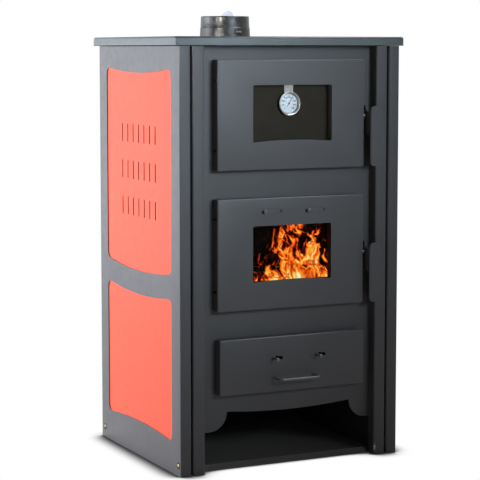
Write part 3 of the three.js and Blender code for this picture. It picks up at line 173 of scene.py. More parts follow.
class FinishSettings(bpy.types.PropertyGroup):
    """Colours and edges of the painted sheet metal."""

    grey: colour("Grey paint", (0.091, 0.088, 0.09), "Heat-proof paint of the casing, doors and handles")
    coral: colour("Coral enamel", (0.87, 0.105, 0.06), "Enamel of the side panels")
    bare_metal: colour("Bare metal", (0.34, 0.36, 0.38), "Metal that shows where paint has rubbed thin")
    edge_radius: length("Sheet edge", 0.45 * MM, "Rounding of every cut sheet edge")
    bend_radius: length("Sheet bend", 2.0 * MM, "Outer radius where a sheet is folded")
    soft_edge: length("Handle edge", 0.9 * MM, "Rounding of the edges that a hand touches")


class FireSettings(bpy.types.PropertyGroup):
    """The burning logs behind the fire door."""

    flame_height: length("Flame height", 0.165, "Tallest flame above the logs")
    flame_sheets: count("Flame sheets", 2, "Layers of flame from front to back", 1, 9)
    log_radius: length("Log radius", 0.03, "Mean radius of a log")
    seed: count("Seed", 7, "Random seed of the logs", 0, 999)


class DialSettings(bpy.types.PropertyGroup):
    """The oven thermometer's printed scale."""

    ticks: count("Ticks", 41, "Marks over the whole scale")
    sweep: angle("Sweep", 270, "Angle that the scale covers")
    step: count("Step", 50, "Difference between two printed numbers", 1, 100)
    number_height: length("Number height", 3.9 * MM, "Height of a printed number")
    ink: colour("Ink", (0.015, 0.035, 0.08), "Colour of the printed scale")


class FastenerSettings(bpy.types.PropertyGroup):
    """Screws of the casing, the front plate and the back panel."""

    casing_screw: length("Casing screw", 4.2 * MM, "Head radius of the casing screws")
    plate_screw: length("Plate screw", 2.6 * MM, "Head radius of the front plate's screws")
    back_screw: length("Back screw", 3.4 * MM, "Head radius of the back panel's screws")
    brass: colour("Brass", (0.42, 0.29, 0.12), "Plating of the casing screws")


class StageSettings(bpy.types.PropertyGroup):
    """Camera, lamps and floor."""

    lens: bpy.props.FloatProperty(
        name="Lens", unit="CAMERA", default=128.2, description="Focal length in mm"
    )
    camera_place: bpy.props.FloatVectorProperty(
        name="Camera place", unit="LENGTH", size=3, default=(-1.771, -3.601, 0.936),
        description="Camera position"
    )
    camera_yaw: angle("Camera yaw", -25.99, "Turn about the upright axis")
    camera_pitch: angle("Camera pitch", -5.69, "Tilt below the horizon")
    key_power: power("Key light", 6.3, "light at the front left")
    side_power: power("Side light", 108.0, "soft light at the left")
    sheen_power: power("Sheen light", 42.0, "soft light behind the left side")
    top_power: power("Top light", 90.0, "light above that only gloss shows")
    glint_power: power("Glint light", 1.6, "light at the left that only the collar's gloss shows")
    fill_power: power("Fill light", 56.0, "soft light at the right that gloss doesn't show")
    surroundings: number("Surroundings", 0.03, "Strength of the room's light on the object")
    floor: colour("Floor", (0.52, 0.44, 0.39), "Floor as the object's light sees it")


# ---------------------------------------------------------------- node helpers


class Tree:
    """Adds nodes to one tree and links them by plain calls."""

    def __init__(self, nodes_tree):
        self.tree = nodes_tree

    def add(self, kind, inputs=None, **settings):
        node = self.tree.nodes.new(kind)
        for name, value in settings.items():
            setattr(node, name, value)
        for name, value in (inputs or {}).items():
            self.feed(node.inputs[name], value)
        return node

    def feed(self, socket, value):
        """Links a node or a socket, or sets a plain value; a colour of three parts gets its alpha."""
        if isinstance(value, bpy.types.Node):
            value = value.outputs[0]
        if isinstance(value, bpy.types.NodeSocket):
            self.tree.links.new(value, socket)
        else:
            socket.default_value = (*value, 1.0) if socket.type == "RGBA" and len(value) == 3 else value

    def maths(self, operation, a, b=0.0, c=0.0, clamp=False):
        node = self.add("ShaderNodeMath", {0: a, 1: b, 2: c}, operation=operation, use_clamp=clamp)
        return node.outputs[0]

    def plus(self, a, b):
        return self.maths("ADD", a, b)

    def minus(self, a, b):
        return self.maths("SUBTRACT", a, b)

    def times(self, a, b):
        return self.maths("MULTIPLY", a, b)

    def vector(self, operation, a, b=(0, 0, 0)):
        node = self.add("ShaderNodeVectorMath", {0: a}, operation=operation)
        self.feed(node.inputs["Scale" if operation == "SCALE" else 1], b)
        return node.outputs["Value" if operation in {"DOT_PRODUCT", "LENGTH"} else "Vector"]

    def xyz(self, x=0.0, y=0.0, z=0.0):
        return self.add("ShaderNodeCombineXYZ", {0: x, 1: y, 2: z})

    def parts(self, vector):
        return self.add("ShaderNodeSeparateXYZ", {0: vector}).outputs

    def place(self):
        return self.add("ShaderNodeTexCoord").outputs["Object"]

    def noise(self, at, scale, detail, roughness=0.55, distortion=0.0):
        node = self.add("ShaderNodeTexNoise", {"Vector": at, "Scale": scale, "Detail": detail,
                                               "Roughness": roughness, "Distortion": distortion})
        return node.outputs[0]

    def between(self, value, low, high, to_low=0.0, to_high=1.0):
        """A smooth step of value from low..high to to_low..to_high."""
        node = self.add("ShaderNodeMapRange", {"Value": value, "From Min": low, "From Max": high,
                                               "To Min": to_low, "To Max": to_high},
                        interpolation_type="SMOOTHSTEP")
        return node.outputs[0]

    def blend(self, share, a, b):
        """The colour a, with this share of b."""
        return self.add("ShaderNodeMix", {0: share, 6: a, 7: b}, data_type="RGBA").outputs[2]

    def ramp(self, value, stops):
        node = self.add("ShaderNodeValToRGB", {0: value})
        elements = node.color_ramp.elements
        while len(elements) < len(stops):
            elements.new(0.5)
        for element, (position, shade) in zip(elements, stops):
            element.position = position
            element.color = (*shade, 1.0)
        return node.outputs[0]

    def seen(self):
        """One where the surroundings are seen straight, in gloss or through glass."""
        path = self.add("ShaderNodeLightPath").outputs
        return self.maths("MAXIMUM", self.maths("MAXIMUM", path["Is Camera Ray"], path["Is Glossy Ray"]),
                          path["Is Transmission Ray"])


def scaled(shade, factor):
    """The colour made lighter or darker by a factor."""
    return [part * factor for part in shade]


def sockets(group, side, **kinds):
    """Names the inputs or outputs of a group; each kind is a default value or the socket's type."""
    for title, given in kinds.items():
        kind = given if isinstance(given, str) else {int: "Int", float: "Float", tuple: "Color"}[type(given)]
        socket = group.interface.new_socket(
            title.replace("_", " "), in_out=side, socket_type=f"NodeSocket{kind}")
        if given != kind:
            socket.default_value = given


def shader_group(name, outputs, **inputs):
    """A shared effect: a node group with named sockets, its tree, its inputs and its outputs."""
    group = bpy.data.node_groups.new(name, "ShaderNodeTree")
    sockets(group, "INPUT", **inputs)
    sockets(group, "OUTPUT", **outputs)
    tree = Tree(group)
    return group, tree, tree.add("NodeGroupInput").outputs, tree.add("NodeGroupOutput").inputs


def grain_group():
    """Sprayed paint: slow changes of tone, fine grain and a few pale specks of dust."""
    group, tree, given, result = shader_group(
        "Sprayed Grain", {"Colour": "Color", "Roughness": "Float", "Height": "Float"},
        Colour=(0.1, 0.1, 0.1, 1), Tone=0.12, Gloss=0.5, Grain_Scale=900.0, Specks=0.3)
    at = tree.place()
    slow = tree.noise(at, 5.5, 2.0)
    patchy = tree.noise(at, 48.0, 3.0)
    fine = tree.noise(at, given["Grain Scale"], 2.0)
    tone = tree.times(tree.minus(slow, 0.5), given["Tone"])
    tone = tree.plus(tone, tree.times(tree.minus(fine, 0.5), 0.16))
    shade = tree.vector("SCALE", given["Colour"], tree.plus(1.0, tone))
    dust = tree.between(tree.noise(at, 420.0, 1.0), 0.79, 0.82)
    dust = tree.times(dust, given["Specks"])
    tree.feed(result["Colour"], tree.blend(dust, shade, (0.36, 0.35, 0.33)))
    rough = tree.plus(given["Gloss"], tree.between(patchy, 0.3, 0.7, -0.045, 0.045))
    tree.feed(result["Roughness"], rough)
    tree.feed(result["Height"], tree.plus(fine, tree.times(patchy, 0.35)))
    return group


def wear_group():
    """A mask along outer edges, broken up by noise, and the colour with the rubbed edge on it."""
    group, tree, given, result = shader_group(
        "Rubbed Edge", {"Colour": "Color", "Mask": "Float"},
        Colour=(0.1, 0.1, 0.1, 1), Bare=(0.4, 0.4, 0.4, 1), Amount=0.5, Width=0.0015)
    rounded = tree.add("ShaderNodeBevel", {"Radius": given["Width"]}, samples=4)
    flat = tree.add("ShaderNodeNewGeometry").outputs["Normal"]
    fold = tree.minus(1.0, tree.vector("DOT_PRODUCT", rounded.outputs[0], flat))
    broken = tree.between(tree.noise(tree.place(), 70.0, 4.0), 0.35, 0.65, 0.25, 1.0)
    mask = tree.times(tree.between(fold, 0.004, 0.16), broken)
    mask = tree.maths("MULTIPLY", mask, given["Amount"], clamp=True)
    tree.feed(result["Mask"], mask)
    tree.feed(result["Colour"], tree.blend(mask, given["Colour"], given["Bare"]))
    return group


def lumps_group():
    """Sand-cast or thickly enamelled metal: low lumps under a fine grit."""
    group, tree, given, result = shader_group(
        "Cast Skin", {"Height": "Float", "Tone": "Float"}, Lump_Scale=45.0, Grit_Scale=600.0, Grit=0.25)
    at = tree.place()
    lumps = tree.noise(at, given["Lump Scale"], 2.0, 0.5, 0.3)
    grit = tree.noise(at, given["Grit Scale"], 2.0)
    tree.feed(result["Height"], tree.plus(lumps, tree.times(grit, given["Grit"])))
    tree.feed(result["Tone"], tree.between(lumps, 0.3, 0.7))
    return group


class Finish(Tree):
    """One material: its tree, its Principled shader and the shared groups."""

    groups = {}

    def __init__(self, name, **constants):
        self.material = bpy.data.materials.new(name)
        self.material.use_nodes = True
        super().__init__(self.material.node_tree)
        self.shader = self.tree.nodes["Principled BSDF"]
        self.set(**constants)

    def fill(self, node, values):
        """Feeds a node's inputs by name, with _ for each space."""
        for name, value in values.items():
            self.feed(node.inputs[name.replace("_", " ")], value)
        return node.outputs

    def set(self, **values):
        self.fill(self.shader, values)

    def shared(self, name, **inputs):
        return self.fill(self.add("ShaderNodeGroup", node_tree=self.groups[name]), inputs)

    def bump(self, height, depth):
        self.set(Normal=self.add("ShaderNodeBump", {"Distance": depth, "Height": height}))


# ---------------------------------------------------------------- finishes


def painted(name, shade, gloss, bare=None, wear=0.3, tone=0.25, specks=0.3, grain=900.0, depth=0.00005,
            sheen=0.16, chips=None, rim=None):
    """Sprayed paint on sheet steel, rubbed along its edges. chips is the middle of a chipped spot.

    rim is the height above which the front edge is painted dark as shade, and how far back it goes."""
    finish = Finish(name, Specular_IOR_Level=sheen)
    bare = bare or tuple(bpy.context.scene.cookstove_finish.bare_metal)
    skin = finish.shared("Sprayed Grain", Colour=shade, Tone=tone, Gloss=gloss, Grain_Scale=grain,
                         Specks=specks)
    edge = finish.shared("Rubbed Edge", Colour=skin["Colour"], Bare=bare, Amount=wear)
    shown = edge["Colour"]
    if chips:
        at = finish.place()
        near = finish.vector("SUBTRACT", at, chips)
        near = finish.vector("LENGTH", finish.vector("MULTIPLY", near, (1.0, 1.0, 0.3)))
        spot = finish.between(near, 0.002, 0.004, 1.0, 0.0)
        flakes = finish.between(finish.noise(at, 160.0, 3.0), 0.4, 0.45)
        shown = finish.blend(finish.times(spot, flakes), shown, (0.72, 0.72, 0.7))
    # Painted shade: the top of the front edge is blended to near black.
    if rim:
        _, y, z = finish.parts(finish.place())
        rim_shade = finish.times(finish.between(z, rim[0] - 0.4 * MM, rim[0] + 0.4 * MM),
                             finish.between(y, rim[1], rim[1] + 4 * MM, 1.0, 0.0))
        shown = finish.blend(rim_shade, shown, (0.014, 0.014, 0.015))
    finish.set(Base_Color=shown, Roughness=skin["Roughness"])
    finish.bump(skin["Height"], depth)
    return finish.material


def cast(name, shade, gloss, lumps, depth, metal=0.0, sheen=0.5):
    """Cast iron or thick enamel with an uneven skin."""
    finish = Finish(name, Metallic=metal, Specular_IOR_Level=sheen)
    skin = finish.shared("Cast Skin", Lump_Scale=lumps)
    worn = finish.shared("Rubbed Edge", Colour=finish.blend(skin["Tone"], shade, scaled(shade, 1.35)),
                         Bare=(0.3, 0.3, 0.3), Amount=0.22)
    finish.set(Base_Color=worn["Colour"],
               Roughness=finish.between(skin["Tone"], 0.0, 1.0, gloss, gloss + 0.12))
    finish.bump(skin["Height"], depth)
    return finish.material


def brushed(name, shade, gloss, stretch=(1, 40, 1), stain=(0.2, 0.16, 0.12), amount=0.25, metal=1.0):
    """Rolled or drawn metal with fine lines along one direction and some heat stain."""
    finish = Finish(name, Metallic=metal)
    at = finish.place()
    lines = finish.noise(finish.vector("MULTIPLY", at, stretch), 90.0, 4.0)
    cloud = finish.between(finish.noise(at, 16.0, 4.0), 0.42, 0.72)
    shade = finish.blend(finish.times(cloud, amount), shade, stain)
    edge = finish.shared("Rubbed Edge", Colour=shade, Bare=(0.75, 0.74, 0.72), Amount=0.25)
    finish.set(Base_Color=edge["Colour"], Roughness=finish.between(lines, 0.3, 0.7, gloss, gloss + 0.16))
    finish.bump(lines, 0.00002)
    return finish.material


def pane(name, tint, rough, ior, clear=1.0):
    """Ceramic glass with a faint haze; clear is how much of it lets the light through."""
    finish = Finish(name, Transmission_Weight=clear, IOR=ior, Metallic=0.0)
    haze = finish.noise(finish.place(), 30.0, 3.0)
    finish.set(Base_Color=finish.blend(finish.between(haze, 0.35, 0.7), tint, scaled(tint, 0.9)),
               Roughness=finish.between(haze, 0.3, 0.7, rough, rough + 0.03))
    return finish.material


def lens_finish():
    """The thermometer's thin clear window, which lets the light through to the dial."""
    finish = Finish("Dial Lens", Base_Color=(0.8, 0.86, 0.95), Roughness=0.06)
    haze = finish.noise(finish.place(), 260.0, 2.0)
    finish.set(Alpha=finish.between(haze, 0.3, 0.7, 0.04, 0.08))
    return finish.material


def rope_finish():
    """Fuzzy glass-fibre rope."""
    finish = Finish("Seal Rope", Sheen_Weight=0.3)
    at = finish.place()
    fuzz = finish.noise(at, 700.0, 3.0)
    finish.set(Base_Color=finish.blend(fuzz, (0.2, 0.19, 0.17), (0.42, 0.4, 0.36)),
               Roughness=finish.between(fuzz, 0.2, 0.8, 0.85, 1.0))
    finish.bump(fuzz, 0.0002)
    return finish.material


def brick_finish():
    """Firebrick slabs with pale joints and grit, nearly black with soot and painted shade."""
    finish = Finish("Firebrick", Roughness=0.95, Specular_IOR_Level=0.1)
    at = finish.place()
    courses = finish.maths("PINGPONG", finish.parts(at)[2], 0.1)
    joint = finish.between(courses, 0.0008, 0.0022, 1.0, 0.0)
    grit = finish.noise(at, 260.0, 4.0)
    # Soot and painted shade cover most of the brick, nearly black.
    soot_and_shade = finish.between(finish.noise(at, 9.0, 3.0), 0.25, 0.6, 0.93, 0.99)
    clay = finish.blend(grit, (0.5, 0.38, 0.24), (0.66, 0.54, 0.38))
    clay = finish.blend(soot_and_shade, clay, (0.003, 0.0028, 0.0026))
    finish.set(Base_Color=finish.blend(joint, clay, (0.03, 0.027, 0.024)))
    finish.bump(finish.minus(grit, joint), 0.0006)
    return finish.material


def flame_finish():
    """Licking flames on a sheet: bright threads in a warped field, under a jagged outline."""
    finish = Finish("Flame", Base_Color=(0, 0, 0), Roughness=1.0, Specular_IOR_Level=0.0,
                    Emission_Strength=1.0)
    along = finish.add("ShaderNodeUVMap", uv_map="flame").outputs[0]
    u, v, _ = finish.parts(along)
    at = finish.place()
    swirl = finish.add("ShaderNodeTexNoise", {"Vector": at, "Scale": 14.0, "Detail": 2.0}).outputs["Color"]
    swirl = finish.vector("SCALE", finish.vector("SUBTRACT", swirl, (0.5, 0.5, 0.5)), 0.045)
    drawn = finish.vector("ADD", finish.vector("MULTIPLY", at, (1.0, 2.2, 0.2)), swirl)
    body = finish.noise(drawn, 40.0, 3.0, 0.5, 0.2)
    threads = finish.noise(drawn, 56.0, 1.0, 0.4, 0.2)
    ridge = finish.maths("ABSOLUTE", finish.maths("MULTIPLY_ADD", threads, 9.0, -4.5))
    ridge = finish.maths("MAXIMUM", finish.minus(1.0, ridge), 0.0)
    outline = finish.add("ShaderNodeFloatCurve", {"Factor": 1.0, "Value": u})
    points = outline.mapping.curves[0].points
    points[0].location, points[-1].location = FLAME_OUTLINE[0], FLAME_OUTLINE[-1]
    for spot in FLAME_OUTLINE[1:-1]:
        points.new(*spot)
    outline.mapping.update()
    inside = finish.maths("MINIMUM", finish.minus(outline.outputs[0], v), 0.3)
    heat = finish.maths("MULTIPLY_ADD", inside, 1.05, finish.maths("MULTIPLY_ADD", body, 2.9, -1.5))
    heat = finish.maths("MULTIPLY_ADD", ridge, 0.44, heat)
    finish.set(
        Emission_Color=finish.ramp(heat, [(0.14, (0.08, 0.002, 0)), (0.32, (0.42, 0.02, 0.001)),
                                          (0.46, (0.95, 0.12, 0.004)), (0.64, (1.0, 0.32, 0.02)),
                                          (0.82, (1.0, 0.66, 0.14)), (1.0, (1.0, 0.93, 0.55))]),
        Alpha=finish.between(heat, 0.14, 0.4),
    )
    return finish.material


def log_finish():
    """Charred bark with glowing cracks."""
    finish = Finish("Charred Log", Roughness=0.95, Emission_Strength=1.0, Specular_IOR_Level=0.1)
    at = finish.place()
    bark = finish.noise(finish.vector("MULTIPLY", at, (0.3, 1, 1)), 110.0, 5.0)
    cracks = finish.add("ShaderNodeTexVoronoi", {"Vector": at, "Scale": 62.0}, feature="DISTANCE_TO_EDGE")
    glow = finish.between(cracks.outputs[0], 0.0, 0.05, 1.0, 0.0)
    glow = finish.times(glow, finish.between(finish.noise(at, 18.0, 2.0), 0.42, 0.62))
    embers = finish.ramp(glow, [(0.0, (0, 0, 0)), (0.4, (0.12, 0.005, 0)), (1.0, (0.6, 0.09, 0.005))])
    finish.set(Base_Color=finish.blend(bark, (0.002, 0.0018, 0.0016), (0.009, 0.0075, 0.0065)),
               Emission_Color=embers)
    finish.bump(finish.plus(bark, finish.times(cracks.outputs[0], 2.0)), 0.002)
    return finish.material


def print_finish(name, ink, gloss):
    """Printed or sprayed colour with a faint unevenness."""
    finish = Finish(name)
    spots = finish.noise(finish.place(), 800.0, 2.0)
    finish.set(Base_Color=finish.blend(spots, ink, scaled(ink, 0.8)),
               Roughness=finish.between(spots, 0.3, 0.7, gloss, gloss + 0.08))
    return finish.material


MATERIALS = {}


def make_materials():
    """Builds the shared groups and every finish once."""
    look = bpy.context.scene.cookstove_finish
    screws = bpy.context.scene.cookstove_fasteners
    dial = bpy.context.scene.cookstove_dial
    Finish.groups = {"Sprayed Grain": grain_group(), "Rubbed Edge": wear_group(), "Cast Skin": lumps_group()}
    grey, coral = tuple(look.grey), tuple(look.coral)
    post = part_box("inner_post_right")[0]
    front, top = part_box("top_frame")[0].y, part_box("top_frame")[1].z
    MATERIALS.update({
        "paint": painted("Grey Paint", grey, 0.42),
        "chipped_paint": painted("Chipped Grey Paint", grey, 0.42,
                                 chips=(post.x + 1.5 * MM, post.y, post.z + 20 * MM)),
        "door_paint": painted("Door Paint", scaled(grey, 1.02), 0.4, tone=0.2, specks=0.45),
        "coral_paint": painted("Coral Enamel", coral, 0.42, (0.5, 0.3, 0.27), wear=0.12, tone=0.07,
                               specks=0.05, grain=500.0, depth=0.00003, sheen=0.055),
        # Dark coral for the panels' slot walls and rims: painted shade.
        "shaded_panel_edge": painted("Cut Enamel Edge", scaled(coral, 0.12), 0.7, wear=0.0, sheen=0.05),
        "slider_paint": painted("Slider Paint", scaled(grey, 1.2), 0.45, wear=0.5),
        # Paler than the casing's grey, with many pale specks, for the base plate.
        "pale_base_paint": painted("Dusty Paint", (0.2, 0.185, 0.17), 0.8, tone=0.5, specks=0.8, sheen=0.1),
        # The bail's paint is the grey made lighter, a lit copy of it: painted light for the bar's lit top.
        "lit_bail_paint": painted("Bail Paint", scaled(grey, 1.2), 0.42, wear=0.3, sheen=0.3),
        # Near black for the log guard and the baffle: charred iron, darkened further as painted shade of the
        # unlit firebox.
        "char_and_shade": painted("Charred Iron", (0.005, 0.0045, 0.004), 0.8, wear=0.04, sheen=0.05),
        # Dark steel for the body walls and the fire door's liner: soot, and painted shade that keeps the wood
        # store and the slots dark.
        "soot_and_shade_steel": painted("Sooty Steel", (0.05, 0.045, 0.05), 0.7, wear=0.1, tone=0.6, sheen=0.15),
        "lens": lens_finish(),
        # The top frame's paint is the grey made lighter and bluer, a lit copy of it: painted light, with a
        # painted shade along its rim.
        "lit_top_paint": painted("Top Frame Paint", [c * v for c, v in zip(grey, (1.3, 1.5, 1.5))], 0.42,
                             tone=0.5, grain=420.0, depth=0.0001, rim=(top - 4.2 * MM, front + 4 * MM)),
        # Pale brown-grey for the oven's glass frame: painted light, so that its shaded reveal shows as light
        # as the dark glass.
        "lit_frame_brown": painted("Oven Glass Frame Brown", (0.17, 0.16, 0.135), 0.6, wear=0.1, sheen=0.1),
        # Black of the fire door's glass frame, used also as painted shade on the walls of openings and in the
        # casing screws' recess rings.
        "black_frame_and_shade": painted("Glass Frame Black", (0.01, 0.0095, 0.009), 0.6, wear=0.1, sheen=0.1),
        # Near black for rounded rims: painted shade on the top frame's edges and on the collar's top.
        "shaded_rim": painted("Top Frame Rim", scaled(grey, 0.18), 0.9, wear=0.0, sheen=0.0),
        "cast_iron": cast("Cast Iron", (0.028, 0.027, 0.026), 0.42, 80.0, 0.0004, metal=0.2),
        "enamelled_iron": cast("Enamelled Collar", (0.009, 0.0092, 0.01), 0.24, 42.0, 0.0012, sheen=0.3),
        "raw_steel": brushed("Rolled Steel", (0.2, 0.19, 0.18), 0.4, metal=0.85),
        "knob_steel": brushed("Knob Steel", (0.06, 0.06, 0.06), 0.48, metal=0.3),
        "damper_steel": brushed("Damper Steel", (0.3, 0.33, 0.4), 0.4, stain=(0.4, 0.26, 0.1), amount=0.8,
                                metal=0.6),
        "bezel_steel": brushed("Bezel Steel", (0.25, 0.25, 0.245), 0.2, stretch=(40, 1, 1), amount=0.15),
        "stainless": brushed("Stainless Steel", (0.62, 0.64, 0.66), 0.2, stretch=(40, 1, 1), amount=0.1),
        "zinc": brushed("Plated Steel", (0.78, 0.72, 0.55), 0.22, stretch=(1, 30, 1), stain=(0.7, 0.42, 0.1)),
        "oven_glass": pane("Dark Oven Glass", (0.049, 0.041, 0.031), 0.03, 1.16, 0.3),
        "glass": pane("Clear Glass", (0.97, 0.965, 0.95), 0.0, 1.08),
        "seal_rope": rope_finish(),
        "firebrick": brick_finish(),
        "dial_paint": print_finish("Dial White", (0.86, 0.93, 0.96), 0.4),
        "dial_ink": print_finish("Dial Ink", tuple(dial.ink), 0.5),
        "needle_paint": print_finish("Needle Red", (0.4, 0.02, 0.02), 0.35),
        "needle_tail": print_finish("Needle Pale", (0.75, 0.45, 0.44), 0.35),
        "brass": brushed("Brass Plating", tuple(screws.brass), 0.28, amount=0.2),
        "dark_screw": brushed("Blackened Steel", (0.04, 0.04, 0.042), 0.35, metal=0.7),
        "flame": flame_finish(),
        "log": log_finish(),
    })


# ---------------------------------------------------------------- shapes


def new_object(name, data):
    """An object in the scene, at the origin."""
    made = bpy.data.objects.new(name, data)
    bpy.context.scene.collection.objects.link(made)
    return made


def new_piece(name, mesh, material):
    """An object of one finish."""
    mesh.materials.clear()
    mesh.materials.append(MATERIALS[material])
    return new_object(name, mesh)


def new_mesh(name, shape):
    """Turns a worked shape into a mesh."""
    mesh = bpy.data.meshes.new(name)
    shape.to_mesh(mesh)
    shape.free()
    return mesh


def sharpen(shape, limit=SHARP):
    """Smooth faces, with every edge steeper than the limit in degrees kept sharp."""
    for face in shape.faces:
        face.smooth = True
    for edge in shape.edges:
        edge.smooth = edge.calc_face_angle(math.pi) < math.radians(limit)


def soften(piece, radius, segments):
    """Rounds the sharp edges by a real radius."""
    bevel = piece.modifiers.new("Softened edges", "BEVEL")
    bevel.width, bevel.segments = radius, segments
    bevel.limit_method, bevel.angle_limit = "ANGLE", math.radians(SHARP)
    bevel.harden_normals = True
    bevel.miter_outer = "MITER_SHARP"


def bend(piece, cut_radius, bend_radius):
    """Rounds a folded sheet: its bends by their own radius, its cut rims by a smaller one."""
    shape = bmesh.new()
    shape.from_mesh(piece.data)
    marks = shape.edges.layers.float.new("bevel_weight_edge")
    for edge in shape.edges:
        if edge.smooth:
            continue
        start = edge.verts[0].co
        along = (edge.verts[1].co - start).normalized()
        breadth = min(max((v.co - start).cross(along).length for v in face.verts) for face in edge.link_faces)
        edge[marks] = 1.0 if edge.is_convex and breadth > SHEET_RIM else cut_radius / bend_radius
    shape.to_mesh(piece.data)
    shape.free()
    soften(piece, bend_radius, 3)
    piece.modifiers[0].limit_method = "WEIGHT"


def settle(piece, node, stands_in=True):
    """Puts a piece on a node's body, in the node's place, which it hides, or beside it."""
    if stands_in:
        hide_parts(node)
    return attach(piece, BODY_OF[node])


def merged(node):
    """The node's shape as one merged mesh; whole flat faces where no row of slots runs through them."""
    shape = bmesh.new()
    shape.from_mesh(frame["nodes"][node].data)
    bmesh.ops.remove_doubles(shape, verts=shape.verts, dist=SAME_PLACE)
    if node not in SLOTTED:
        bmesh.ops.dissolve_limit(shape, angle_limit=math.radians(FLAT), verts=shape.verts, edges=shape.edges)
    sharpen(shape)
    return new_mesh(node, shape)


def dress(node, radius=None, segments=2):
    """Stands a softened copy with its finish in for a node."""
    look = bpy.context.scene.cookstove_finish
    radius = look.edge_radius if radius is None else radius
    piece = new_piece(f"{node}_finished", merged(node), FINISH_OF.get(node, SLOT_OF[node]))
    if node in FOLDED and radius:
        bend(piece, radius, look.bend_radius)
    elif radius:
        soften(piece, radius, segments)
    return settle(piece, node)


def recolour(piece, material, chosen):
    """Gives the chosen faces of a piece a second finish."""
    piece.data.materials.append(MATERIALS[material])
    for face in piece.data.polygons:
        face.material_index = int(chosen(face))


def paint_opening_shade(sheet, *nodes):
    """Gives the walls of the openings in front of these nodes the black of the glass frames, as painted
    shade.
    """
    boxes = [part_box(node) for node in nodes]

    def wall(face):
        x, _, z = face.center
        inside = any(low.x < x < high.x and low.z < z < high.z for low, high in boxes)
        return inside and abs(face.normal.y) < 0.5

    recolour(sheet, "black_frame_and_shade", wall)


def lathe(name, profile, place, axis, material, sides=96, closed=False):
    """A turned piece about axis through place.

    Each point of the profile is a radius, the mm added to it, a height and the mm added to that."""
    shape = bmesh.new()
    rings = []
    for base, out, level, up in profile:
        radius, height = base + out * MM, level + up * MM
        if radius < SAME_PLACE:
            rings.append([shape.verts.new((0, 0, height))] * sides)
            continue
        rings.append([shape.verts.new((radius * math.cos(a), radius * math.sin(a), height))
                      for a in (2 * math.pi * i / sides for i in range(sides))])
    pairs = list(zip(rings, rings[1:])) + ([(rings[-1], rings[0])] if closed else [])
    for low, high in pairs:
        for i in range(sides):
            j = (i + 1) % sides
            corners = list(dict.fromkeys([low[i], low[j], high[j], high[i]]))
            if len(corners) > 2:
                shape.faces.new(corners)
    turn = Vector((0, 0, 1)).rotation_difference(Vector(axis)).to_matrix().to_4x4()
    bmesh.ops.transform(shape, matrix=Matrix.Translation(place) @ turn, verts=shape.verts)
    bmesh.ops.recalc_face_normals(shape, faces=shape.faces)
    sharpen(shape, TURNED_SHARP)
    return new_piece(name, new_mesh(name, shape), material)


def bake(piece):
    """Turns the piece's modifiers into a plain mesh."""
    mesh = bpy.data.meshes.new_from_object(piece.evaluated_get(bpy.context.evaluated_depsgraph_get()))
    piece.modifiers.clear()
    piece.data = mesh


def carve(piece, low, high):
    """Cuts the box from low to high out of a piece."""
    shape = bmesh.new()
    bmesh.ops.create_cube(shape, size=1.0)
    for vert in shape.verts:
        vert.co = Vector([(a + b) / 2 + s * (b - a) for a, b, s in zip(low, high, vert.co)])
    cutter = new_object("slot", new_mesh("slot", shape))
    cut = piece.modifiers.new("Slot", "BOOLEAN")
    cut.object, cut.operation, cut.solver = cutter, "DIFFERENCE", "EXACT"
    bake(piece)
    bpy.data.objects.remove(cutter)


# ---------------------------------------------------------------- repeated pieces


def geometry_tree(name, **inputs):
    """A Geometry Nodes tree with points, named sizes and a material as its inputs, and those inputs."""
    group = bpy.data.node_groups.new(name, "GeometryNodeTree")
    sockets(group, "INPUT", Geometry="Geometry", **inputs, Material="Material")
    sockets(group, "OUTPUT", Geometry="Geometry")
    tree = Tree(group)
    return tree, tree.add("NodeGroupInput").outputs


def set_out(tree, given, shape):
    """Ends a tree: the shape on every point, facing the point's way, as real geometry with its material."""
    facing = tree.add("GeometryNodeInputNamedAttribute", {"Name": "facing"}, data_type="FLOAT_VECTOR")
    turn = tree.add("FunctionNodeAlignRotationToVector", {"Vector": facing.outputs[0]}, axis="Z")
    whole = tree.add("GeometryNodeInstanceOnPoints", {"Points": given["Geometry"], "Instance": shape,
                                                      "Rotation": turn})
    real = tree.add("GeometryNodeRealizeInstances", {0: whole})
    ready = tree.add("GeometryNodeSetMaterial", {"Geometry": real, "Material": given["Material"]})
    tree.add("NodeGroupOutput", {"Geometry": ready})
    return tree.tree


def grown(name, group, points, material, sharp=GROWN_SHARP, **values):
    """Runs a tree over a mesh of points and returns the plain result as a piece."""
    values["Material"] = MATERIALS[material]
    mesh = bpy.data.meshes.new(name)
    mesh.from_pydata([tuple(p) for p, _ in points], [], [])
    facing = mesh.attributes.new("facing", "FLOAT_VECTOR", "POINT")
    for spot, (_, normal) in zip(facing.data, points):
        spot.vector = normal
    piece = new_object(name, mesh)
    maker = piece.modifiers.new("Maker", "NODES")
    maker.node_group = group
    for socket in group.interface.items_tree:
        if socket.in_out == "INPUT" and socket.name in values:
            maker[socket.identifier] = values[socket.name]
    bake(piece)
    shape = bmesh.new()
    shape.from_mesh(piece.data)
    sharpen(shape, sharp)
    shape.to_mesh(piece.data)
    shape.free()
    return piece


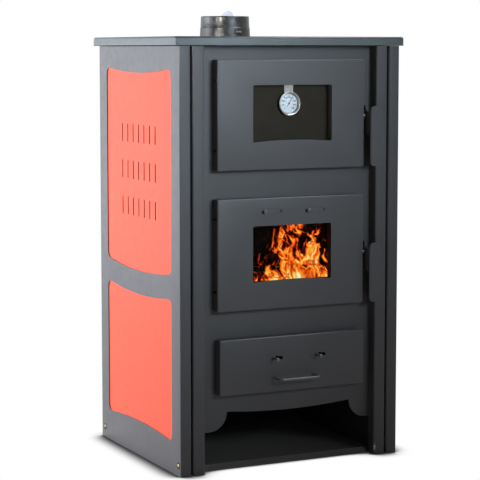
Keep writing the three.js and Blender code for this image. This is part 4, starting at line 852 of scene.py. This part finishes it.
def screw_tree():
    """A domed screw head with a cross recess on every point, facing the point's direction."""
    tree, given = geometry_tree("Screw Heads", Radius=0.004, Rise=0.0016)
    flat = tree.maths("DIVIDE", given["Rise"], given["Radius"])
    head = tree.add("GeometryNodeMeshUVSphere", {"Segments": 18, "Rings": 8, "Radius": given["Radius"]})
    head = tree.add("GeometryNodeTransform", {"Geometry": head, "Scale": tree.xyz(1.0, 1.0, flat)})
    long, thin = tree.times(given["Radius"], 1.15), tree.times(given["Radius"], 0.26)
    for x, y in ((long, thin), (thin, long)):
        bar = tree.add("GeometryNodeMeshCube", {"Size": tree.xyz(x, y, given["Rise"])})
        bar = tree.add("GeometryNodeTransform", {"Geometry": bar, "Translation": tree.xyz(z=given["Rise"])})
        head = tree.add("GeometryNodeMeshBoolean", {0: head, 1: bar}, operation="DIFFERENCE", solver="EXACT")
    return set_out(tree, given, head)


def tick_tree():
    """Printed marks on an arc about the one point given, each fifth one longer and wider."""
    tree, given = geometry_tree("Dial Ticks", Count=41, Radius=0.019, Sweep=4.7, Length=0.0016, Width=0.0003)
    size = tree.xyz(given["Length"], given["Width"], INK_THICKNESS)
    mark = tree.add("GeometryNodeMeshCube", {"Size": size})
    index = tree.add("GeometryNodeInputIndex")
    step = tree.maths("DIVIDE", given["Sweep"], tree.minus(given["Count"], 1.0))
    start = tree.maths("MULTIPLY_ADD", given["Sweep"], -0.5, math.pi / 2)
    turn = tree.maths("MULTIPLY_ADD", index, step, start)
    spot = tree.xyz(tree.times(tree.maths("COSINE", turn), given["Radius"]),
                    tree.times(tree.maths("SINE", turn), given["Radius"]))
    arc = tree.add("GeometryNodeMeshLine", {"Count": given["Count"]})
    arc = tree.add("GeometryNodeSetPosition", {"Geometry": arc, "Position": spot})
    fifth = tree.maths("COMPARE", tree.maths("MODULO", index, 5.0), 0.0, 0.1)
    grow = tree.xyz(tree.maths("MULTIPLY_ADD", fifth, 0.8, 1.0),
                    tree.maths("MULTIPLY_ADD", fifth, 0.6, 1.0), 1.0)
    marks = tree.add("GeometryNodeInstanceOnPoints", {"Points": arc, "Instance": mark,
                                                      "Rotation": tree.xyz(z=turn), "Scale": grow})
    return set_out(tree, given, marks)


def rack_tree():
    """A wire rack: a closed frame rod and bars from front to back, about the one point given."""
    tree, given = geometry_tree("Wire Rack", Width=0.3, Depth=0.28, Wire=0.0025, Bar=0.0016, Bars=9,
                                Corner=0.008)

    def tube(curve, radius, sides):
        ring = tree.add("GeometryNodeCurvePrimitiveCircle", {"Resolution": sides, "Radius": radius})
        return tree.add("GeometryNodeCurveToMesh", {"Curve": curve, "Profile Curve": ring, "Fill Caps": True})

    border = tree.add("GeometryNodeCurvePrimitiveQuadrilateral",
                      {"Width": given["Width"], "Height": given["Depth"]})
    border = tree.add("GeometryNodeFilletCurve", {"Curve": border, "Radius": given["Corner"], "Count": 6},
                      mode="POLY")
    half = tree.times(given["Depth"], 0.5)
    bar = tree.add("GeometryNodeCurvePrimitiveLine", {"Start": tree.xyz(y=tree.times(half, -1.0)),
                                                      "End": tree.xyz(y=half)})
    gap = tree.maths("DIVIDE", given["Width"], tree.plus(given["Bars"], 1.0))
    first = tree.maths("MULTIPLY_ADD", given["Width"], -0.5, gap)
    spots = tree.add("GeometryNodeMeshLine", {"Count": given["Bars"], "Start Location": tree.xyz(first),
                                              "Offset": tree.xyz(gap)})
    bars = tree.add("GeometryNodeInstanceOnPoints",
                    {"Points": spots, "Instance": tube(bar, given["Bar"], 10)})
    joined = tree.add("GeometryNodeJoinGeometry")
    for part in (tube(border, given["Wire"], 14), bars):
        tree.feed(joined.inputs[0], part)
    return set_out(tree, given, joined)


def rope_tree():
    """A twisted rope pressed flat round a door's inner frame, about the one point given."""
    tree, given = geometry_tree("Seal Rope", Width=0.33, Height=0.2, Rope=0.003, Depth=0.0007, Lay=0.012)
    line = tree.add("GeometryNodeCurvePrimitiveQuadrilateral",
                    {"Width": given["Width"], "Height": given["Height"]})
    line = tree.add("GeometryNodeFilletCurve", {"Curve": line, "Radius": 0.012, "Count": 6}, mode="POLY")
    line = tree.add("GeometryNodeResampleCurve", {"Curve": line, "Length": 0.0025}, mode="LENGTH")
    run = tree.add("GeometryNodeSplineParameter").outputs["Length"]
    turns = tree.times(tree.maths("DIVIDE", run, given["Lay"]), 2 * math.pi)
    line = tree.add("GeometryNodeSetCurveTilt", {"Curve": line, "Tilt": turns})
    strand = tree.add("GeometryNodeCurveStar", {"Points": 4, "Inner Radius": tree.times(given["Rope"], 0.72),
                                                "Outer Radius": given["Rope"]})
    rope = tree.add("GeometryNodeCurveToMesh", {"Curve": line, "Profile Curve": strand})
    flat = tree.xyz(1.0, 1.0, tree.maths("DIVIDE", given["Depth"], given["Rope"]))
    return set_out(tree, given, tree.add("GeometryNodeTransform", {"Geometry": rope, "Scale": flat}))


# ---------------------------------------------------------------- operators


class CookstoveOperator(bpy.types.Operator):
    """Base of every piece of the cookstove."""

    bl_options = {"REGISTER", "UNDO"}

    def execute(self, context):
        self.make(context.scene)
        return {"FINISHED"}


class MakeCasing(CookstoveOperator):
    """Paint the casing, posts, front plate, top frame and the body behind them"""

    bl_idname = "cookstove.casing"
    bl_label = "Casing"

    def make(self, scene):
        for node in SHEETS:
            sheet = dress(node, 0.0 if node in SLOTTED else None)
            if node == "top_frame":
                # The top frame's rounded edges get the near-black rim: painted shade.
                sheet.data.materials.append(MATERIALS["shaded_rim"])
                sheet.modifiers[0].material = 1


class MakeSidePanels(CookstoveOperator):
    """Enamel the panels behind the casing's cut-outs"""

    bl_idname = "cookstove.side_panels"
    bl_label = "Side panels"

    def make(self, scene):
        for node in SIDE_PANELS:
            # The panels' slot walls and rims get the dark coral: painted shade.
            recolour(dress(node, 0.0 if node in SLOTTED else THIN_EDGE), "shaded_panel_edge",
                     lambda face: abs(face.normal.x) < 0.7)


class MakeDoors(CookstoveOperator):
    """Paint both doors with their glass frames, liners and hinge lugs"""

    bl_idname = "cookstove.doors"
    bl_label = "Doors"

    def make(self, scene):
        for node in DOORS:
            part = dress(node)
            if node == "fire_door_shell":
                # The walls round the fire door's glass and air slots get painted shade.
                paint_opening_shade(part, "fire_door_glass", "fire_air_slider")


class MakeGlass(CookstoveOperator):
    """Put the dark pane in the oven door and the clear pane in the fire door"""

    bl_idname = "cookstove.glass"
    bl_label = "Glass"

    def make(self, scene):
        dress("oven_door_glass", THIN_EDGE)
        dress("fire_door_glass", THIN_EDGE)


class MakeSeals(CookstoveOperator):
    """Lay the rope seals round the backs of the doors"""

    bl_idname = "cookstove.seals"
    bl_label = "Seals"

    def make(self, scene):
        group = rope_tree()
        for node in ("oven_door_seal", "fire_door_seal"):
            low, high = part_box(node)
            size, rope = high - low, 3 * MM
            piece = grown(f"{node}_rope", group, [((low + high) / 2, (0, 1, 0))], "seal_rope", ROPE_SHARP,
                          Width=size.x - 2 * rope, Height=size.z - 2 * rope, Rope=rope, Depth=size.y / 2)
            settle(piece, node)


class MakeLatches(CookstoveOperator):
    """Round the door handles and their pivot bolts"""

    bl_idname = "cookstove.latches"
    bl_label = "Latches"

    def make(self, scene):
        for node in LATCHES:
            dress(node, scene.cookstove_finish.soft_edge if node.endswith("handle") else None, 3)


class MakeThermometer(CookstoveOperator):
    """Turn the thermometer's case, print its dial and set its lens, needle and strap"""

    bl_idname = "cookstove.thermometer"
    bl_label = "Thermometer"

    def make(self, scene):
        settings = scene.cookstove_dial
        (low, high), dial, lens = map(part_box, ("thermometer_case", "thermometer_dial", "thermometer_lens"))
        centre = Vector(((low.x + high.x) / 2, low.y, (low.z + high.z) / 2))
        rim, depth = (high.x - low.x) / 2, high.y - low.y
        bowl, plate = (dial[1].x - dial[0].x) / 2, dial[1].y - dial[0].y
        floor = dial[1].y - low.y + 0.3 * MM
        glass, thick = (lens[1].x - lens[0].x) / 2, lens[1].y - lens[0].y
        self.turned("thermometer_case", "turned", centre, low.y, "bezel_steel", [
            (0, 0, floor, 0), (bowl, 0.5, floor, 0), (bowl, 0.7, floor, -2.6), (rim, -3.4, 0, 1.6),
            (rim, -2.2, 0, 0.5), (rim, -1.4, 0, 0.08), (rim, -0.9, 0, 0), (rim, -0.4, 0, 0.15),
            (rim, -0.1, 0, 0.5), (rim, 0, 0, 1.0), (rim, -0.15, 0, 1.9), (rim, -1.6, 0, 3.1),
            (bowl, 2.0, 0, 4.4), (bowl, 1.6, depth, 0), (0, 0, depth, 0)])
        self.turned("thermometer_dial", "printed", centre, dial[0].y, "dial_paint", [
            (0, 0, 0, 0), (bowl, -0.3, 0, 0), (bowl, 0, 0, 0.15), (bowl, 0, plate, 0), (0, 0, plate, 0)])
        self.turned("thermometer_lens", "turned", centre, lens[0].y, "lens", [
            (0, 0, 0, 0), (bowl * 0.5, 0, 0, 0.04), (bowl * 0.9, 0, 0, 0.2), (glass, 0, 0, 0.4),
            (glass, 0, thick, 0), (0, 0, thick, 0)])
        print_at = Vector((centre.x, dial[0].y - INK_THICKNESS / 2, centre.z))
        marks = grown("thermometer_ticks", tick_tree(), [(print_at, (0, -1, 0))], "dial_ink",
                      Count=settings.ticks, Radius=bowl * TICK_RING, Sweep=settings.sweep, Length=1.7 * MM,
                      Width=0.5 * MM)
        settle(marks, "thermometer_dial", stands_in=False)
        self.numbers(settings, print_at, bowl * NUMBER_RING)
        dress("thermometer_strap", THIN_EDGE)

        def tail(face):
            middle = face.center - centre
            return math.hypot(middle.x, middle.z) > NEEDLE_HUB and middle.z < 0

        recolour(dress("thermometer_needle", 0.1 * MM), "needle_tail", tail)

    def turned(self, node, ending, centre, y, material, profile):
        """Stands a turned piece that faces the front in for a node."""
        settle(lathe(f"{node}_{ending}", profile, Vector((centre.x, y, centre.z)), (0, 1, 0), material), node)

    def numbers(self, settings, place, radius):
        """Prints the numbers of the scale on the dial."""
        every = max(1, (settings.ticks - 1) // 8)
        last = max(1, (settings.ticks - 1) // every)
        for i in range(last + 1):
            turn = math.pi / 2 + settings.sweep * (0.5 - i / last)
            text = bpy.data.curves.new(f"dial_number_{i}", "FONT")
            text.body = str(i * settings.step)
            text.size = settings.number_height * TEXT_SIZE_PER_HEIGHT
            text.align_x, text.align_y = "CENTER", "CENTER"
            text.extrude, text.offset = 0.02 * MM, 0.09 * MM
            label = new_object(f"dial_number_{i}", text)
            bpy.context.view_layer.update()
            mesh = bpy.data.meshes.new_from_object(label.evaluated_get(bpy.context.evaluated_depsgraph_get()))
            bpy.data.objects.remove(label)
            spot = place + Vector((radius * math.cos(turn), 0, radius * math.sin(turn)))
            mesh.transform(Matrix.Translation(spot) @ Matrix.Rotation(math.pi / 2, 4, "X"))
            settle(new_piece(f"dial_number_{i}", mesh, "dial_ink"), "thermometer_dial", stands_in=False)


class MakeDrawer(CookstoveOperator):
    """Paint the ash drawer's front, its pan and its bail"""

    bl_idname = "cookstove.drawer"
    bl_label = "Ash drawer"

    def make(self, scene):
        for node in DRAWER:
            part = dress(node, 0.25 * MM if node == "drawer_handle" else None)
            if node == "ash_drawer_front":
                # The walls of the drawer's air slot get painted shade.
                paint_opening_shade(part, "drawer_air_slider")


class MakeSliders(CookstoveOperator):
    """Finish the sliding air plates and their knobs"""

    bl_idname = "cookstove.sliders"
    bl_label = "Air sliders"

    def make(self, scene):
        for node, front in SLIDERS.items():
            face_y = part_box(front)[0].y
            recolour(dress(node, 0.35 * MM), "knob_steel",
                     lambda face: face.center.y < face_y - 0.2 * MM)


class MakeHob(CookstoveOperator):
    """Finish the cooking plate and its lid"""

    bl_idname = "cookstove.hob"
    bl_label = "Hob"

    def make(self, scene):
        for node in ("cooking_plate", "cooking_lid"):
            dress(node, CAST_EDGE, 3)


class MakeFlue(CookstoveOperator):
    """Turn the flue collar, cut its damper slot and finish the damper"""

    bl_idname = "cookstove.flue"
    bl_label = "Flue"

    def make(self, scene):
        low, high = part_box("flue_collar")
        plate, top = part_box("cooking_plate")[1].z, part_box("top_frame")[1].z
        axis = Vector(((low.x + high.x) / 2, (low.y + high.y) / 2, 0))
        flange, wall, rim = (high.x - low.x) / 2, 4 * MM, 57.5 * MM
        neck = flange - 14 * MM
        under, step = low.z + wall, top + 23 * MM
        profile = [
            (neck - wall, 0, low.z, 0), (flange, -0.5, low.z, 0), (flange, 0, low.z, 0.5),
            (flange, 0, under, -0.4), (flange, -0.4, under, 0), (neck, 0, under, 0), (neck, 0, plate, 0),
            (neck, -0.2, top, 0), (neck, -1.2, step, -1.2), (neck, -1.4, step, -0.3),
            (neck, -1.75, step, 0.2), (neck, -2.0, step, 0.8), (rim, 0.25, high.z, -5),
            (rim, 0.1, high.z, -3.2)]
        profile += [(rim - 2 * MM, 2 * math.cos(a), high.z - 2 * MM, 2 * math.sin(a))
                    for a in (math.radians(15 * i) for i in range(1, 7))]
        profile += [(rim - wall, 0.5, high.z, 0), (rim - wall, 0.15, high.z, -0.15),
                    (rim - wall, 0, high.z, -0.5)]
        collar = lathe("flue_collar_turned", profile, axis, (0, 0, 1), "enamelled_iron", 128, closed=True)
        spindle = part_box("damper_spindle")
        level = (spindle[0].z + spindle[1].z) / 2
        for left, right, near, far, half in (  # the damper's slot in front, its spindle's hole behind
            (3.5 * MM, 13.5 * MM, -neck - MM, -neck / 2, 3.6 * MM),
            (3.4 * MM, 3.4 * MM, neck / 2, neck + MM, 3.4 * MM),
        ):
            carve(collar, Vector((axis.x - left, axis.y + near, level - half)),
                  Vector((axis.x + right, axis.y + far, level + half)))
        # The collar's rounded top gets the near-black rim: painted shade.
        recolour(collar, "shaded_rim", lambda face: face.center.z > high.z - 0.9 * MM)
        settle(collar, "flue_collar")
        dress("damper_disc", THIN_EDGE)
        dress("damper_spindle", THIN_EDGE)


class MakeOven(CookstoveOperator):
    """Finish the oven's lining and bend its wire rack"""

    bl_idname = "cookstove.oven"
    bl_label = "Oven"

    def make(self, scene):
        dress("oven_box")
        low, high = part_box("oven_rack")
        wire = (high.z - low.z) / 2
        settle(grown("oven_rack_wires", rack_tree(), [((low + high) / 2, (0, 0, 1))], "stainless",
                     Width=high.x - low.x - 2 * wire, Depth=high.y - low.y - 2 * wire, Wire=wire,
                     Bar=wire * 0.64, Bars=9, Corner=6 * MM), "oven_rack")


class MakeFirebox(CookstoveOperator):
    """Finish the firebricks, hearth, grate, log guard, baffle and ash shelf"""

    bl_idname = "cookstove.firebox"
    bl_label = "Firebox"

    def make(self, scene):
        for node in FIREBRICKS:
            dress(node, 2.0 * MM, 3)
        for node in FIREBOX:
            dress(node, CAST_EDGE)


class MakeFasteners(CookstoveOperator):
    """Set the screws of the casing on dark rings, painted shade of their recesses, and the screws of the
    front plate and of the back panel
    """

    bl_idname = "cookstove.fasteners"
    bl_label = "Fasteners"

    def make(self, scene):
        sizes = scene.cookstove_fasteners
        group = screw_tree()
        low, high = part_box("side_casing_left")
        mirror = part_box("side_casing_right")[1].x
        front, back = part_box("front_plate")[0].y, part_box("back_panel")
        corners = [(Vector((x, low.y + up, z)), (n, 0, 0)) for x, n in ((low.x, -1), (mirror, 1))
                   for up, z in ((12 * MM, 24 * MM), (450 * MM, 25 * MM))]
        plate = [(Vector((low.x + x * MM, front, 322 * MM)), (0, -1, 0)) for x in (240.7, 322.7)]
        rows = [back[0].z + 25 * MM + i * (back[1].z - back[0].z - 50 * MM) / 4 for i in range(5)]
        sides = (low.x + 11 * MM, mirror - 11 * MM)
        rear = [(Vector((x, high.y, z)), (0, 1, 0)) for z in rows for x in sides]
        for name, radius, rise, material, points in (
            # Dark rings under the casing screws: painted shade of their recesses.
            ("casing_recesses", sizes.casing_screw * 1.9, 0.08, "black_frame_and_shade", corners),
            ("casing_screws", sizes.casing_screw, 0.42, "brass", corners),
            ("plate_screws", sizes.plate_screw, 0.42, "dark_screw", plate),
            ("back_screws", sizes.back_screw, 0.42, "zinc", rear),
        ):
            screws = grown(name, group, points, material, Radius=radius, Rise=radius * rise)
            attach(screws, BODY_OF["front_plate"])


class MakeFire(CookstoveOperator):
    """Lay burning logs on the grate with flames above them"""

    bl_idname = "cookstove.fire"
    bl_label = "Fire"

    def make(self, scene):
        settings = scene.cookstove_fire
        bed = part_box("hearth_plate")[1].z
        chance = random.Random(settings.seed)
        for i, (place, turn, size) in enumerate(LOGS):
            self.log(i, Vector(place) + Vector((0, 0, bed + settings.log_radius)), turn, size,
                     settings.log_radius, chance)
        for i in range(settings.flame_sheets):
            self.sheet(i, FLAME_FRONT + FLAME_GAP * i, bed + FLAME_FOOT, settings.flame_height, chance)

    def log(self, index, place, turn, size, radius, chance):
        """A bumpy log lying along x, turned about the upright axis, narrower at its ends."""
        shape = bmesh.new()
        rings, sides = 26, 28
        bumps = [chance.uniform(0.86, 1.1) for _ in range(sides)]
        verts = []
        for r in range(rings + 1):
            t = r / rings
            swell = 1.0 + 0.06 * math.sin(5.0 * t + index) - 0.1 * max(0.0, abs(2 * t - 1) - 0.9) * 10
            verts.append([shape.verts.new((
                (t - 0.5) * size,
                radius * swell * bumps[k] * math.cos(2 * math.pi * k / sides),
                radius * swell * bumps[k] * math.sin(2 * math.pi * k / sides))) for k in range(sides)])
        for a, b in zip(verts, verts[1:]):
            for k in range(sides):
                shape.faces.new((a[k], a[(k + 1) % sides], b[(k + 1) % sides], b[k]))
        shape.faces.new(verts[0][::-1])
        shape.faces.new(verts[-1])
        spin = Matrix.Rotation(math.radians(turn), 4, "Z")
        bmesh.ops.transform(shape, matrix=Matrix.Translation(place) @ spin, verts=shape.verts)
        bmesh.ops.recalc_face_normals(shape, faces=shape.faces)
        sharpen(shape, BARK_SHARP)
        name = f"fire_log_{index}"
        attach(new_piece(name, new_mesh(name, shape), "log"), "stove_body")

    def sheet(self, index, y, bottom, height, chance):
        """One upright sheet of flame, bowed and rippled, with its own UV map."""
        shape = bmesh.new()
        uv = shape.loops.layers.uv.new("flame")
        columns, rows = 30, 16
        left = FLAME_LEFT + FLAME_SHIFT * index
        grid, phase = [], chance.uniform(0, 6)
        for c in range(columns + 1):
            u = c / columns
            bowed = y + 0.012 * math.sin(5 * u + phase)
            grid.append([shape.verts.new((
                left + u * FLAME_WIDTH, bowed + 0.008 * math.sin(9 * r / rows + 4 * u),
                bottom + height * r / rows)) for r in range(rows + 1)])
        for c in range(columns):
            for r in range(rows):
                corners = ((c, r), (c + 1, r), (c + 1, r + 1), (c, r + 1))
                face = shape.faces.new([grid[a][b] for a, b in corners])
                face.smooth = True
                for loop, (a, b) in zip(face.loops, corners):
                    loop[uv].uv = (a / columns, b / rows)
        name = f"flame_sheet_{index}"
        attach(new_piece(name, new_mesh(name, shape), "flame"), "stove_body")


class MakeStage(CookstoveOperator):
    """Set the floor, the lamps, the surroundings and the camera"""

    bl_idname = "cookstove.stage"
    bl_label = "Stage"

    def make(self, scene):
        settings = scene.cookstove_stage
        self.floor(settings)
        for name, place, size, tint, aim, spread, unseen in LAMPS:
            lamp = self.lamp(name, place, size, getattr(settings, f"{name.lower()}_power"), tint, aim, spread)
            if unseen:
                setattr(lamp, unseen, False)
        self.surroundings(settings)
        lens = bpy.data.cameras.new("Camera")
        lens.lens, lens.sensor_width, lens.shift_y = settings.lens, SENSOR_WIDTH, CAMERA_SHIFT
        camera = new_object("Camera", lens)
        camera.location = settings.camera_place
        camera.rotation_euler = (math.pi / 2 + settings.camera_pitch, 0.0, settings.camera_yaw)
        bpy.context.scene.camera = camera
        bpy.context.scene.view_settings.view_transform = "Standard"

    def floor(self, settings):
        shape = bmesh.new()
        bmesh.ops.create_grid(shape, x_segments=2, y_segments=2, size=FLOOR_SIZE)
        mesh = new_mesh("stage_floor", shape)
        material = bpy.data.materials.new("Stage Floor")
        material.use_nodes = True
        material.node_tree.nodes.clear()
        tree = Tree(material.node_tree)
        # Painted shadow: the floor's glow darkens where ambient occlusion finds the stove close by.
        near = tree.add("ShaderNodeAmbientOcclusion", {"Distance": 0.07}, samples=16)
        shade = tree.blend(tree.between(near.outputs["AO"], 0.5, 0.92), (0.03, 0.03, 0.032), (1, 1, 1))
        glow = tree.add("ShaderNodeEmission", {"Color": shade, "Strength": 1.0})
        dull = tree.add("ShaderNodeBsdfDiffuse", {"Color": settings.floor})
        both = tree.add("ShaderNodeMixShader", {0: tree.seen(), 1: dull, 2: glow})
        tree.add("ShaderNodeOutputMaterial", {"Surface": both})
        mesh.materials.append(material)
        floor = new_object("stage_floor", mesh)
        floor.location.z = -FLOOR_DROP

    def lamp(self, name, place, size, watts, tint, aim, spread):
        light = bpy.data.lights.new(name, "AREA")
        light.shape, light.size, light.size_y = "RECTANGLE", *size
        light.energy, light.color, light.spread = watts, tint, math.radians(spread)
        lamp = new_object(name, light)
        lamp.location = place
        lamp.rotation_euler = (Vector(aim) - Vector(place)).to_track_quat("-Z", "Y").to_euler()
        return lamp

    def surroundings(self, settings):
        world = bpy.data.worlds.new("Surroundings")
        bpy.context.scene.world = world
        world.use_nodes = True
        world.node_tree.nodes.clear()
        tree = Tree(world.node_tree)
        seen = tree.seen()
        strength = tree.add("ShaderNodeMapRange", {"Value": seen, "To Min": settings.surroundings,
                                                   "To Max": 1.0})
        tint = tree.blend(seen, (1.0, 0.95, 0.92), (1, 1, 1))
        sky = tree.add("ShaderNodeBackground", {"Color": tint, "Strength": strength})
        tree.add("ShaderNodeOutputWorld", {"Surface": sky})


class CookstovePanel(bpy.types.Panel):
    """The cookstove's pieces and settings in the sidebar."""

    bl_idname = "VIEW3D_PT_cookstove"
    bl_label = "Cookstove"
    bl_space_type = "VIEW_3D"
    bl_region_type = "UI"
    bl_category = "Cookstove"

    def draw(self, context):
        for piece in PIECES:
            self.layout.operator(piece.bl_idname)
        for name, kind in SETTINGS.items():
            box = self.layout.box()
            box.label(text=kind.__doc__)
            for prop in kind.__annotations__:
                box.prop(getattr(context.scene, name), prop)


SETTINGS = {
    "cookstove_finish": FinishSettings,
    "cookstove_fire": FireSettings,
    "cookstove_dial": DialSettings,
    "cookstove_fasteners": FastenerSettings,
    "cookstove_stage": StageSettings,
}
PIECES = (
    MakeCasing, MakeSidePanels, MakeDoors, MakeGlass, MakeSeals, MakeLatches, MakeThermometer, MakeDrawer,
    MakeSliders, MakeHob, MakeFlue, MakeOven, MakeFirebox, MakeFasteners, MakeFire, MakeStage,
)


def register():
    for kind in (*SETTINGS.values(), *PIECES, CookstovePanel):
        bpy.utils.register_class(kind)
    for name, kind in SETTINGS.items():
        setattr(bpy.types.Scene, name, bpy.props.PointerProperty(type=kind))


def unregister():
    for name in SETTINGS:
        delattr(bpy.types.Scene, name)
    for kind in (CookstovePanel, *reversed(PIECES), *reversed(SETTINGS.values())):
        bpy.utils.unregister_class(kind)


def main():
    """Registers the classes, builds the materials and makes every piece."""
    register()
    make_materials()
    for piece in PIECES:
        group, name = piece.bl_idname.split(".")
        getattr(getattr(bpy.ops, group), name)()


if __name__ == "__main__":
    main()
